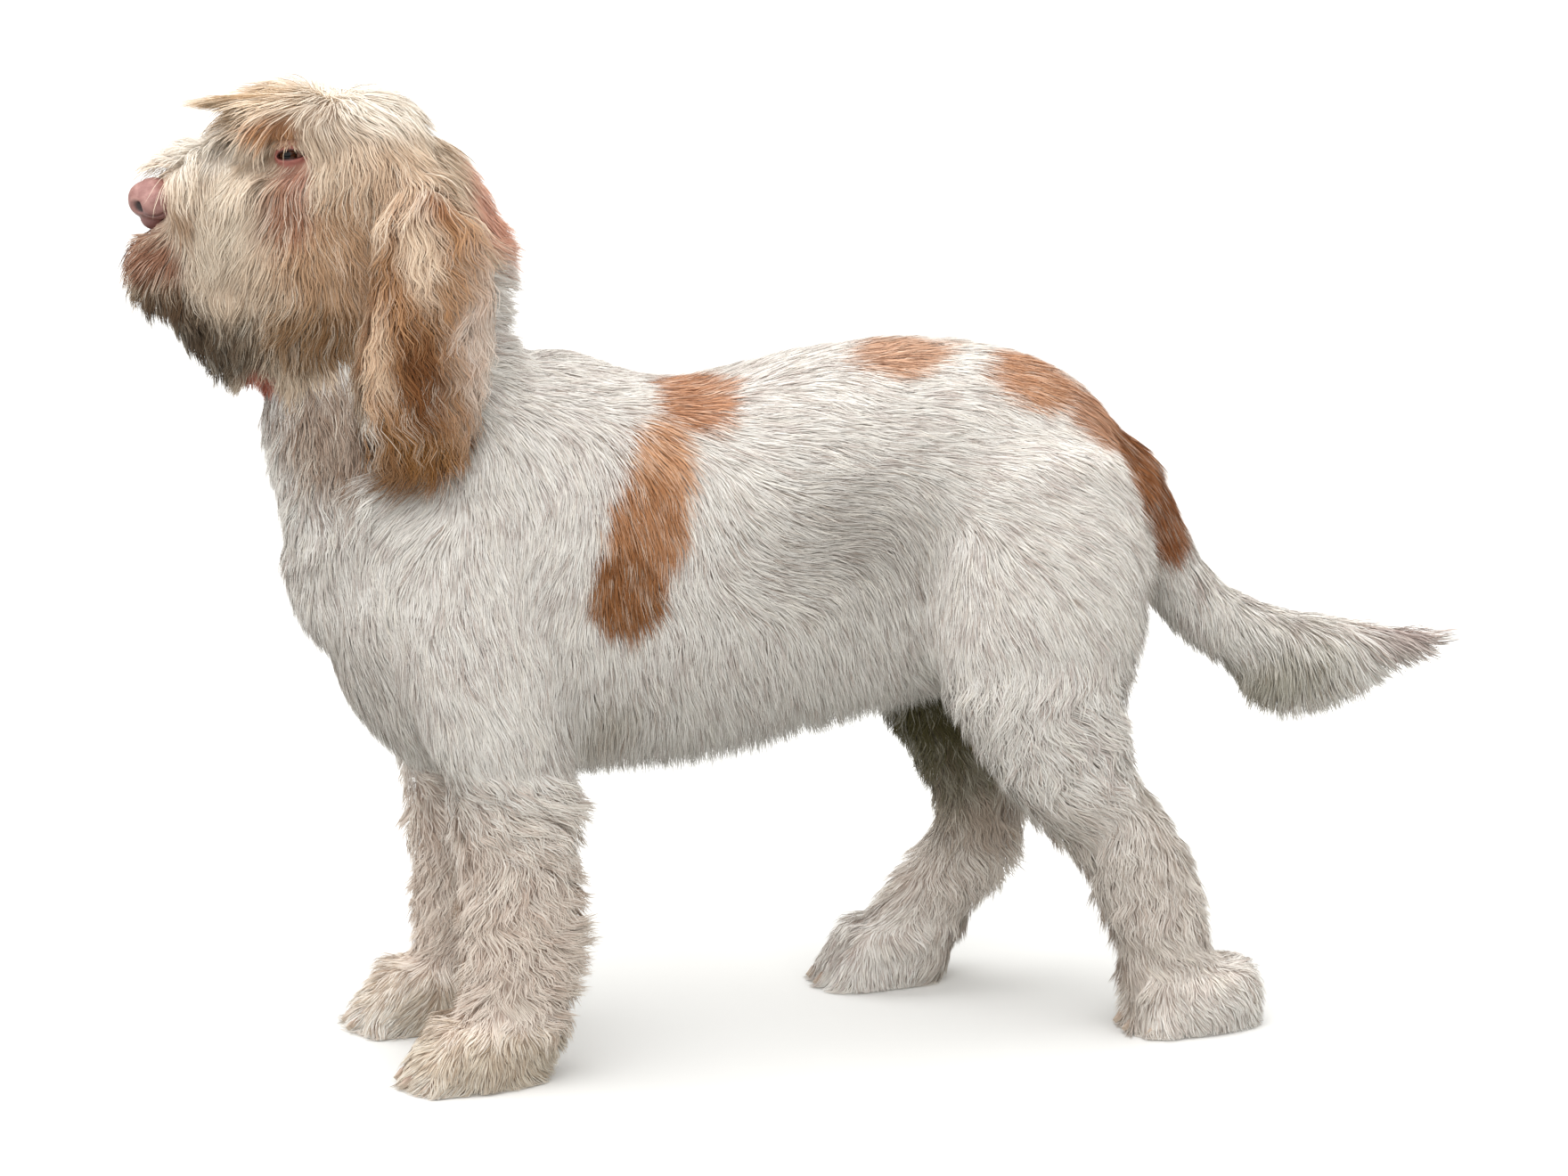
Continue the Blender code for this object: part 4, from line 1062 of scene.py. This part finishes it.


# %% [markdown]
# ## Markings
# The dog is white with orange patches, and its head and ears are cream and tan. Skin and coat share the
# markings: each is a soft round zone in space with ragged edges. A few zones are painted shade and not
# markings: the grey of the left flank, the shade at the elbows and the dark olive of the far thigh. On the
# body a strand takes its colour from the place of its root, and on the head more from the place where it
# hangs. Its own chance number decides on which side of a ragged edge it falls. Fine pinkish-grey hairs are
# strewn in the white.

# %% The zones of colour
BODY_ZONES = {  # middle, radii, width of the edge, colour, strength, and True for a zone on one side only
    "neck": ((0.07, -0.418, 0.612), (0.090, 0.060, 0.080), 0.60, shade(156, 122, 94), 0.78),
    "chest_low": ((0.00, -0.378, 0.407), (0.140, 0.082, 0.082), 0.60, shade(214, 204, 196), 0.4),
    "head": ((0.00, -0.415, 0.790), (0.140, 0.165, 0.140), 0.40, shade(230, 208, 184), 1.0),
    "throat": ((0.00, -0.474, 0.637), (0.030, 0.016, 0.022), 0.70, shade(216, 120, 98), 0.8),
    "nape": ((0.02, -0.280, 0.780), (0.060, 0.050, 0.062), 0.50, shade(232, 170, 146), 0.85),
    "withers": ((0.04, -0.110, 0.606), (0.068, 0.046, 0.032), 0.35, shade(208, 150, 110), 0.95, True),
    "withers_dark": ((0.04, -0.094, 0.618), (0.057, 0.025, 0.011), 0.70, shade(170, 106, 66), 0.8, True),
    "band_top": ((0.12, -0.145, 0.575), (0.068, 0.040, 0.062), 0.25, shade(216, 164, 124), 1.0, True),
    "band_middle": ((0.12, -0.159, 0.515), (0.068, 0.040, 0.060), 0.25, shade(192, 136, 94), 1.0, True),
    "band_low": ((0.13, -0.175, 0.465), (0.068, 0.037, 0.050), 0.25, shade(160, 106, 64), 1.0, True),
    "loin": ((0.04, 0.080, 0.638), (0.068, 0.058, 0.028), 0.40, shade(216, 170, 138), 0.95, True),
    "loin_rear": ((0.04, 0.143, 0.640), (0.057, 0.039, 0.011), 0.50, shade(214, 160, 122), 0.7, True),
    "croup": ((0.05, 0.210, 0.614), (0.068, 0.064, 0.032), 0.40, shade(204, 148, 108), 0.95, True),
    "croup_rear": ((0.04, 0.270, 0.578), (0.064, 0.050, 0.038), 0.40, shade(194, 136, 96), 0.9, True),
    "tail_root": ((0.02, 0.305, 0.530), (0.070, 0.048, 0.064), 0.35, shade(172, 112, 70), 1.0),
    "tail_top": ((0.01, 0.348, 0.480), (0.060, 0.038, 0.050), 0.35, shade(158, 100, 62), 1.0),
    "hip": ((0.12, 0.134, 0.509), (0.030, 0.009, 0.015), 0.80, shade(196, 142, 118), 0.6, True),
    # painted shade: the left flank, turned aside from the light above, is painted grey
    "flank_painted_shade": ((0.12, 0.030, 0.490), (0.100, 0.150, 0.100), 0.90, shade(172, 164, 156), 0.60, True),
    "elbow_shade": ((0.10, -0.182, 0.337), (0.060, 0.045, 0.037), 0.80, shade(170, 158, 138), 0.5),
    "right_rib": ((-0.12, 0.030, 0.535), (0.080, 0.078, 0.055), 0.30, shade(198, 142, 100), 1.0, True),
    "right_rib_low": ((-0.12, -0.020, 0.480), (0.080, 0.040, 0.060), 0.30, shade(184, 128, 86), 1.0, True),
    "right_shoulder": ((-0.10, -0.215, 0.590), (0.080, 0.060, 0.038), 0.30, shade(206, 152, 112), 0.9, True),
    "foreleg": ((0.09, -0.290, 0.130), (0.090, 0.160, 0.200), 0.60, shade(236, 216, 200), 0.65),
    # painted shade: the far thigh, shaded by the belly, is painted dark olive, with a painted green tinge of
    # light thrown up from below
    "far_thigh_painted_shade": ((-0.07, 0.185, 0.245), (0.090, 0.085, 0.125), 0.50, shade(92, 86, 50), 1.0, True),
    "far_hock": ((-0.07, 0.215, 0.170), (0.070, 0.040, 0.045), 0.80, shade(150, 116, 84), 0.8, True),
    "forepaw": ((0.09, -0.300, 0.030), (0.090, 0.120, 0.045), 0.60, shade(214, 196, 168), 0.6),
    "tail_fringe": ((0.01, 0.470, 0.320), (0.060, 0.090, 0.040), 0.90, shade(168, 162, 142), 0.75),
    "tail_tip": ((0.01, 0.600, 0.340), (0.060, 0.060, 0.040), 0.80, shade(190, 170, 164), 0.80),
    "hindleg": ((0.10, 0.260, 0.110), (0.100, 0.190, 0.190), 0.60, shade(236, 222, 210), 0.55),
}
HEAD_ZONES = {
    "head": ((0.00, -0.425, 0.785), (0.220, 0.240, 0.220), 0.25, shade(230, 208, 184), 1.0),
    "nape": ((0.02, -0.280, 0.780), (0.060, 0.050, 0.062), 0.50, shade(232, 170, 146), 0.85),
    "skull": ((0.02, -0.371, 0.878), (0.100, 0.100, 0.044), 0.70, shade(255, 246, 234), 1.0),
    "skull_side": ((0.08, -0.368, 0.820), (0.050, 0.056, 0.050), 0.80, shade(214, 180, 148), 0.6),
    "cheek": ((0.08, -0.419, 0.750), (0.080, 0.067, 0.082), 0.60, shade(192, 150, 112), 0.85),
    "under_eye": ((0.05, -0.450, 0.790), (0.038, 0.036, 0.050), 0.80, shade(168, 116, 90), 0.92),
    "low_cheek": ((0.06, -0.433, 0.688), (0.080, 0.074, 0.042), 0.60, shade(142, 104, 66), 0.9),
    "muzzle": ((0.03, -0.518, 0.789), (0.060, 0.056, 0.071), 0.50, shade(244, 228, 208), 0.95),
    "wing": ((0.03, -0.546, 0.785), (0.035, 0.022, 0.026), 0.80, shade(172, 134, 100), 0.80),
    "lip": ((0.02, -0.566, 0.746), (0.050, 0.036, 0.036), 0.60, shade(146, 94, 68), 0.92),
    "chin_front": ((0.00, -0.552, 0.704), (0.080, 0.045, 0.034), 0.60, shade(96, 70, 46), 0.95),
    "chin": ((0.00, -0.512, 0.665), (0.100, 0.078, 0.052), 0.70, shade(78, 58, 36), 0.92),
    "throat": ((0.00, -0.474, 0.628), (0.045, 0.024, 0.040), 0.60, shade(214, 118, 96), 0.95),
    "bridge": ((0.00, -0.528, 0.841), (0.055, 0.080, 0.036), 0.70, shade(255, 248, 238), 0.95),
    "brow": ((0.04, -0.462, 0.855), (0.030, 0.028, 0.018), 0.60, shade(206, 150, 104), 0.9),
    "brow_front": ((0.01, -0.470, 0.876), (0.055, 0.080, 0.022), 0.70, shade(255, 236, 212), 0.95),
    "eye": ((0.04, -0.445, 0.817), (0.030, 0.022, 0.022), 0.80, shade(206, 150, 130), 0.7),
    "ear": ((0.11, -0.337, 0.690), (0.050, 0.071, 0.123), 0.20, shade(192, 144, 102), 1.0),
    "ear_root": ((0.10, -0.343, 0.800), (0.040, 0.032, 0.020), 0.80, shade(160, 104, 62), 0.85),
    "ear_front": ((0.12, -0.352, 0.774), (0.050, 0.020, 0.056), 0.70, shade(252, 230, 204), 0.92),
    "ear_middle": ((0.12, -0.355, 0.660), (0.050, 0.030, 0.080), 0.70, shade(130, 80, 40), 0.92),
    "ear_rear": ((0.11, -0.298, 0.690), (0.050, 0.046, 0.110), 0.90, shade(255, 240, 228), 1.0),
    "ear_lock": ((0.12, -0.388, 0.690), (0.050, 0.016, 0.060), 0.80, shade(250, 222, 192), 0.80),
    "ear_low": ((0.11, -0.374, 0.592), (0.070, 0.068, 0.044), 0.60, shade(158, 108, 56), 0.92),
}
WHITE, ROAN = shade(248, 244, 239), shade(190, 170, 164)
RAGGED, TEAR = 42.0, 0.022  # how fine the torn edge of a zone is, and how far it wanders
STREWN, DRIFTS = 70.0, 9.0  # how fine single roan hairs are strewn, and the drifts that they gather in
STREWN_SHARE, DRIFT_SHARE, ROAN_STRENGTH = 0.60, 0.10, 0.50


def markings(graph, place, tone, zones):
    """The coat's colour at a place of the model, for a hair or a bit of skin with this chance number."""
    place = graph.vector("SUBTRACT", place, tuple(SHIFT))
    ragged = graph.vector("SUBTRACT", graph.noise(place, RAGGED, 3.0, output=1), (0.5, 0.5, 0.5))
    torn = graph.vector("ADD", place, graph.vector("MULTIPLY", ragged, (TEAR, TEAR, TEAR)))
    along = [graph.add("ShaderNodeSeparateXYZ", {}, {0: torn}, output=k) for k in range(3)]
    across = graph.add("ShaderNodeMath", {"operation": "ABSOLUTE"}, {0: along[0]})
    both = graph.add("ShaderNodeCombineXYZ", {}, {0: across, 1: along[1], 2: along[2]})
    strewn = graph.noise(place, STREWN, 3.0).ramp(0.40, 0.75) * STREWN_SHARE
    strewn = strewn + graph.noise(place, DRIFTS).ramp(0.4, 0.7) * DRIFT_SHARE
    roan = (strewn - tone * 0.8 + 0.12).ramp(0.0, 0.28)
    colour = graph.mix(roan * ROAN_STRENGTH, WHITE, ROAN)
    for centre, radii, edge, tint, strength, *one_side in zones.values():
        gap = graph.vector("SUBTRACT", torn if one_side else both, centre)
        far = graph.vector("LENGTH", graph.vector("DIVIDE", gap, radii), output=1)
        far = far + (tone - 0.5) * (0.5 * edge)
        colour = graph.mix((1 - far.ramp(1 - edge, 1.0)) * strength, colour, tint)
    return colour


# %% [markdown]
# ## Skin and hair as materials
# Skin takes the coat's markings with a flush of pink. The bare lids are reddish, with a dark wet rim where
# they touch the eye. Hair has a weak shine. Each hair and each lock is a little lighter or darker than the
# next one, least of all in the palest hair, and the roots are darker, since other hair shades them.

# %% The material of the skin
FLUSH, FLUSH_SHARE = shade(206, 160, 146), 0.20
LID_BLOTCHES, PORES, PORE_DEEP = 260.0, 900.0, 0.0008  # how fine they are, and how deep
LID_BARE, LID_RIM, LID_WET = (0.40, 0.80), (0.88, 0.95), (0.90, 0.98)  # 0 is at the cut, 1 at the eye

skin_look = Graph("skin", {"Roughness": 0.55, "Specular IOR Level": 0.3})
skin_place = skin_look.place()
lid_edge = skin_look.stored("lid")
skin_colour = markings(skin_look, skin_place, 0.5, BODY_ZONES | HEAD_ZONES)
skin_colour = skin_look.mix(FLUSH_SHARE, skin_colour, FLUSH)
blush = skin_look.noise(skin_place, LID_BLOTCHES, 3.0)
bare_lid = skin_look.mix(blush, shade(150, 88, 80), shade(196, 130, 118))
skin_colour = skin_look.mix(lid_edge.ramp(*LID_BARE), skin_colour, bare_lid)
skin_colour = skin_look.mix(lid_edge.ramp(*LID_RIM), skin_colour, shade(74, 36, 32))
skin_look.paint("Base Color", skin_colour)
skin_look.paint("Coat Weight", lid_edge.ramp(*LID_WET) * 0.8)
skin_look.bump(skin_look.noise(skin_place, PORES, 3.0), 0.4, PORE_DEEP)
skin_mesh.materials.clear()
skin_mesh.materials.append(skin_look.material)
print("nodes for skin", len(skin_look.nodes))

# %% The materials of the coat
PALE_HAIR, DARK_TINT, ROOT_TINT = shade(255, 246, 232), (0.58, 0.47, 0.39), (0.60, 0.52, 0.46)


def coat_material(name, zones, contrast):
    """Hair in the markings' colours, each hair a little lighter or darker than its neighbours."""
    look = Graph(name, {"Roughness": 0.60, "Specular IOR Level": 0.20})
    tone, lock, along = (look.stored(label) for label in ("tone", "lock", "along"))
    colour = markings(look, look.stored("place", "Vector"), tone, zones)
    mixed = tone * 0.5 + lock * 0.5
    lighter = look.mix(0.75, colour, PALE_HAIR)
    colour = look.mix(mixed.ramp(0.50, 1.0) * contrast * 0.8, colour, lighter)
    pale = look.add("ShaderNodeRGBToBW", {}, {0: colour}).ramp(0.55, 0.90)
    darker = look.vector("MULTIPLY", colour, DARK_TINT)
    colour = look.mix((1 - mixed.ramp(0.0, 0.48)) * (1 - pale * 0.45) * contrast * 0.85, colour, darker)
    shaded = look.vector("MULTIPLY", colour, ROOT_TINT)
    colour = look.mix((1 - along.ramp(0.0, 0.6)) * 0.22, colour, shaded)
    look.paint("Base Color", colour)
    return look.material


body_hair = coat_material("coat", BODY_ZONES, 0.85)
head_hair = coat_material("coat_head", HEAD_ZONES, 0.74)
print("zones", len(BODY_ZONES) + len(HEAD_ZONES), "nodes for body hair", len(body_hair.node_tree.nodes))

# %% [markdown]
# ## The coat, piece by piece
# Thirteen pieces of strands cover the skin. The trunk's short hair has many thin strands of few segments,
# and the ears, the beard and the legs have fewer and longer ones, which gather into bigger locks.

# %% Make the coat
WITHERS, LOIN = -0.24, 0.06  # where the trunk's hair is divided, back along the dog

part_of_face = PARTS[skin_node[triangles[:, 0]]]
middle_of_face = skin_points[triangles].mean(axis=1)
left = middle_of_face[:, 0] > 0
back = middle_of_face[:, 1]


def parts(*names):
    """Which faces of the skin belong to some parts of the body."""
    return np.isin(part_of_face, names)


trunk = parts("trunk")
COATS = {  # material, faces, strands, segments, then what strands() calls lock, clump, swing and carry
    "coat_head_left": (head_hair, parts("head", "muzzle") & left, 19000, 5, 14, 0.50, 0.55, 0.7),
    "coat_head_right": (head_hair, parts("head", "muzzle") & ~left, 19000, 5, 14, 0.50, 0.55, 0.7),
    "coat_beard": (head_hair, parts("jaw"), 9000, 5, 30, 0.85, 0.60, 0.9),
    "coat_ears": (head_hair, parts("ear"), 15000, 6, 26, 0.68, 0.45, 0.5),
    "coat_neck": (body_hair, parts("neck"), 20000, 3, 12, 0.50, 0.55, 0.2),
    "coat_chest": (body_hair, trunk & (back < WITHERS), 66000, 2, 9, 0.36, 0.42, 0.15),
    "coat_ribs": (body_hair, trunk & (back >= WITHERS) & (back < LOIN), 78000, 2, 8, 0.30, 0.32, 0.1),
    "coat_croup": (body_hair, trunk & (back >= LOIN), 84000, 2, 8, 0.30, 0.32, 0.1),
    "coat_tail": (body_hair, parts("tail"), 12000, 3, 10, 0.45, 0.35, 0.2),
}
for side, half in (("left", left), ("right", ~left)):
    foreleg, hindleg = parts("foreleg", "forepaw") & half, parts("hindleg", "hindpaw") & half
    COATS[f"coat_foreleg_{side}"] = (body_hair, foreleg, 20000, 3, 14, 0.60, 1.1, 0.2)
    COATS[f"coat_hindleg_{side}"] = (body_hair, hindleg, 26000, 3, 14, 0.50, 0.9, 0.2)

total_triangles = 0
for name, (look, chosen, count, *shape_of_hair) in COATS.items():
    chosen = np.flatnonzero(chosen)
    made = strands(chosen, count // (1), *shape_of_hair)
    mesh = ribbon_mesh(name, made, unwrap(chosen), chosen)
    mesh.materials.append(look)
    piece = add_object(name, mesh)
    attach(piece, "root")
    total_triangles += len(mesh.polygons)
    print(name, "strands", len(made["tone"]), "triangles", len(mesh.polygons))
print("coat triangles", total_triangles)

# %% [markdown]
# ## Eyes
# An eyeball is nearly a ball, with the clear cornea bulging at its front. What shows between the lids is
# nearly all iris, a warm brown with fine streaks that run in to the pupil and a dark rim. Iris and pupil are
# painted by the angle from the gaze, and a very smooth surface gives the wet glint.

# %% The eyeballs
PUPIL_EDGE, IRIS_RIM, IRIS_EDGE = (15, 17), (28, 41), (43, 46)  # in degrees from the gaze
GAZE = unit(np.array((0.02, 0.02, 1.0)))  # where the pupil is, in the eye's own axes
STREAKS, VEINS = 9.0, 5.0  # how fine they are

eye_look = Graph("eye", {"Roughness": 0.06, "Specular IOR Level": 0.20})
off_gaze = eye_look.stored("off_gaze")
dial = eye_look.stored("dial", "Vector")
streaks = eye_look.noise(dial, STREAKS, 4.0).ramp(0.35, 0.65)
iris = eye_look.mix(streaks, shade(44, 20, 10), shade(84, 44, 20))
iris = eye_look.mix(off_gaze.ramp(*IRIS_RIM), iris, shade(34, 18, 12))
veins = eye_look.noise(dial, VEINS, 5.0).ramp(0.5, 0.62)
white_of_eye = eye_look.mix(veins, shade(150, 112, 98), shade(120, 58, 50))
eye_colour = eye_look.mix(off_gaze.ramp(*IRIS_EDGE), iris, white_of_eye)
eye_colour = eye_look.mix(off_gaze.ramp(*PUPIL_EDGE), shade(5, 4, 4), eye_colour)
eye_look.paint("Base Color", eye_colour)

for side in SIDES:
    shape = bmesh.new()
    bmesh.ops.create_uvsphere(shape, u_segments=64, v_segments=48, radius=1)
    mesh = bpy.data.meshes.new(f"eyeball_{side}")
    shape.to_mesh(mesh)
    shape.free()
    local = unit(points_of(mesh))
    angle = np.arccos(np.clip(local[:, 2], -1, 1))
    radius = eye_radius + bulge(angle)
    move_to(mesh, eye_centres[side] + (local * radius[:, None]) @ eye_axes(side))
    if side == "right":
        mesh.flip_normals()
    store(mesh, "off_gaze", np.degrees(np.arccos(np.clip(local @ GAZE, -1, 1))))
    store(mesh, "dial", unit(local * (1, 1, 0)) + local * (0, 0, 0.15))
    mesh.update()
    mesh.shade_smooth()
    mesh.materials.append(eye_look.material)
    ball = add_object(f"eyeball_{side}", mesh)
    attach(ball, "root")
    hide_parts(f"eye_{side}")
print("eyeballs of radius", round(eye_radius * 1000, 1), "mm, bulging", BULGE * 1000)

# %% [markdown]
# ## Nose
# The nose is a pad of thick hairless leather, broad on top, with a groove down its front, and a comma-shaped
# nostril on each side whose tail runs back under the wing. Overlapping balls fused into one fine surface
# give the pad, which is then pressed in along the nostrils and the groove. The nostrils and the groove are
# also painted dark, as painted shade in their hollows. Its cobbled grain is a bump.

# %% The pad
NOSE_STRAIGHT = np.array((0, -0.5610, 0.7920))  # the middle of the pad, as if the head looked straight ahead
HEAD_PIVOT = np.array((0, -0.40, 0.75))
NOSE_GRID, NOSE_SOFTENING = 0.0010, 8
NOSE_BALLS = (  # middle, radii
    ((0, 0.0010, 0.0010), (0.0200, 0.0185, 0.0185)),
    ((0, -0.0062, 0.0005), (0.0168, 0.0156, 0.0160)),
    ((0, 0.0000, -0.0140), (0.0090, 0.0122, 0.0120)),
    ((0.0138, 0.0040, -0.0015), (0.0112, 0.0170, 0.0134)),
    ((-0.0138, 0.0040, -0.0015), (0.0112, 0.0170, 0.0134)),
)
NOSTRIL_TAIL = (  # from the nostril's middle back along its tail
    (0.0125, -0.0140, -0.0040),
    (0.0150, -0.0110, -0.0090),
    (0.0180, -0.0050, -0.0125),
    (0.0210, 0.0030, -0.0120),
    (0.0240, 0.0120, -0.0080),
)
NOSTRIL_SIZE = (0.0066, 0.0095, 0.0064)
NOSTRIL_PRESS = np.array((-0.0016, 0.0085, 0.0012))  # to the middle, back and up
TAIL_WIDE, TAIL_DEEP, TAIL_FADE = 0.0017, 0.0028, 0.60
GROOVE_WIDE, GROOVE_DEEP, GROOVE_FRONT, GROOVE_TOP = 0.0011, 0.0012, -0.004, 0.006


def to_line(points, path):
    """Each point's distance to a bent line, and how far along the line the nearest place is."""
    best, along = np.full(len(points), np.inf), np.zeros(len(points))
    for number, (start, end) in enumerate(zip(path, path[1:])):
        run = end - start
        share = np.clip((points - start) @ run / (run @ run), 0, 1)
        gap = np.linalg.norm(points - start - share[:, None] * run, axis=1)
        nearer = gap < best
        best[nearer], along[nearer] = gap[nearer], (number + share[nearer]) / (len(path) - 1)
    return best, along


lump = bmesh.new()
for ball_middle, radii in NOSE_BALLS:
    made = bmesh.ops.create_icosphere(lump, subdivisions=4, radius=1)
    for vertex in made["verts"]:
        vertex.co = Vector(ball_middle) + vertex.co * Vector(radii)
pad_mesh = bpy.data.meshes.new("pad")
lump.to_mesh(pad_mesh)
lump.free()
nose_mesh = fused("pad", pad_mesh, NOSE_GRID, NOSE_SOFTENING)
pad_points = points_of(nose_mesh)
pad_normals = normals_of(pad_points, triangles_of(nose_mesh))
pad_side = np.sign(pad_points[:, :1]) * (1, 0, 0) + (0, 1, 1)
mirrored_points = pad_points * pad_side
tail = np.array(NOSTRIL_TAIL)
steps = np.linspace(0, len(tail) - 1, 33)
tail = np.stack([np.interp(steps, np.arange(len(tail)), column) for column in tail.T], axis=1)
tail = np.array([mirrored_points[np.linalg.norm(mirrored_points - place, axis=1).argmin()] for place in tail])
slit_gap, slit_along = to_line(mirrored_points, tail)
slit = bell(slit_gap, TAIL_WIDE) * (1 - TAIL_FADE * slit_along)
hole = smooth(1.15 - np.linalg.norm((mirrored_points - tail[0]) / NOSTRIL_SIZE, axis=1))
groove = bell(pad_points[:, 0], GROOVE_WIDE) * (pad_points[:, 1] < GROOVE_FRONT)
groove = groove * smooth((GROOVE_TOP - pad_points[:, 2]) / GROOVE_TOP)
pressed = pad_points - pad_normals * (TAIL_DEEP * slit + GROOVE_DEEP * groove)[:, None]
pressed += hole[:, None] * (NOSTRIL_PRESS * pad_side)
straight = pressed + NOSE_STRAIGHT - HEAD_PIVOT
placed = np.column_stack(turned(*straight.T)) + HEAD_PIVOT + SHIFT
move_to(nose_mesh, placed)
# how deep in the nostrils, their tails and the groove a point lies, for the painted shade there
store(nose_mesh, "hollow", np.clip(hole * 1.6 + slit * 0.9 + groove * 0.4, 0, 1))
store(nose_mesh, "height", pad_points[:, 2] / 0.02)
nose_mesh.update()
nose_mesh.shade_smooth()
print("nose corners", len(pad_points), "at", placed.mean(axis=0).round(3))

# %% The leather
BLOTCHES, COBBLES, COBBLE_DEEP = 130.0, 950.0, 0.0006  # how fine they are, and how deep

nose_look = Graph("nose_leather", {"Roughness": 0.42, "Specular IOR Level": 0.5})
hollow = nose_look.stored("hollow")
height = nose_look.stored("height")
nose_place = nose_look.place()
blotch = nose_look.noise(nose_place, BLOTCHES, 3.0).ramp(0.35, 0.7)
leather = nose_look.mix(blotch, shade(162, 114, 108), shade(188, 142, 134))
leather = nose_look.mix(height.ramp(-1.1, 0.1), shade(142, 98, 94), leather)
# painted shade: the nostrils, their tails and the groove are painted nearly black
leather = nose_look.mix(hollow.ramp(0.12, 0.85), leather, shade(40, 20, 20))
nose_look.paint("Base Color", leather)
cells = {"Vector": nose_place, "Scale": COBBLES}
cobble = nose_look.add("ShaderNodeTexVoronoi", {"feature": "SMOOTH_F1"}, cells)
nose_look.bump(1 - cobble, 0.5, COBBLE_DEEP)
nose_mesh.materials.clear()
nose_mesh.materials.append(nose_look.material)
nose = add_object("nose_pad", nose_mesh)
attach(nose, "root")
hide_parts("nose")
print("nodes for leather", len(nose_look.nodes))

# %% [markdown]
# ## Claws
# Claws are horn: smooth, darker and pinker towards the root and paler at the blunt tip, with faint lines
# along them. The solids have the right shape already, so they only get the look of horn.

# %% Horn
GRAIN, GRAIN_DEEP = (900.0, 120.0, 120.0), 0.0004  # how fine the lines are each way, and how deep
HORN_TIP, HORN_ROOT = 0.004, 0.020  # above the floor

horn_look = Graph("claw_horn", {"Roughness": 0.38, "Specular IOR Level": 0.45})
horn_place = horn_look.place()
lines = horn_look.noise(horn_look.vector("MULTIPLY", horn_place, GRAIN), 1.0, 3.0)
horn_height = horn_look.add("ShaderNodeSeparateXYZ", {}, {0: horn_place}, output=2)
horn = horn_look.mix(horn_height.ramp(HORN_TIP, HORN_ROOT), shade(214, 196, 178), shade(160, 128, 114))
horn_look.paint("Base Color", horn_look.mix(lines.ramp(0.4, 0.7) * 0.4, horn, shade(142, 112, 94)))
horn_look.bump(lines, 0.3, GRAIN_DEEP)
for name in CLAWS:
    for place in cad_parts[name].material_slots:
        place.material = horn_look.material
print("claws", len(CLAWS))
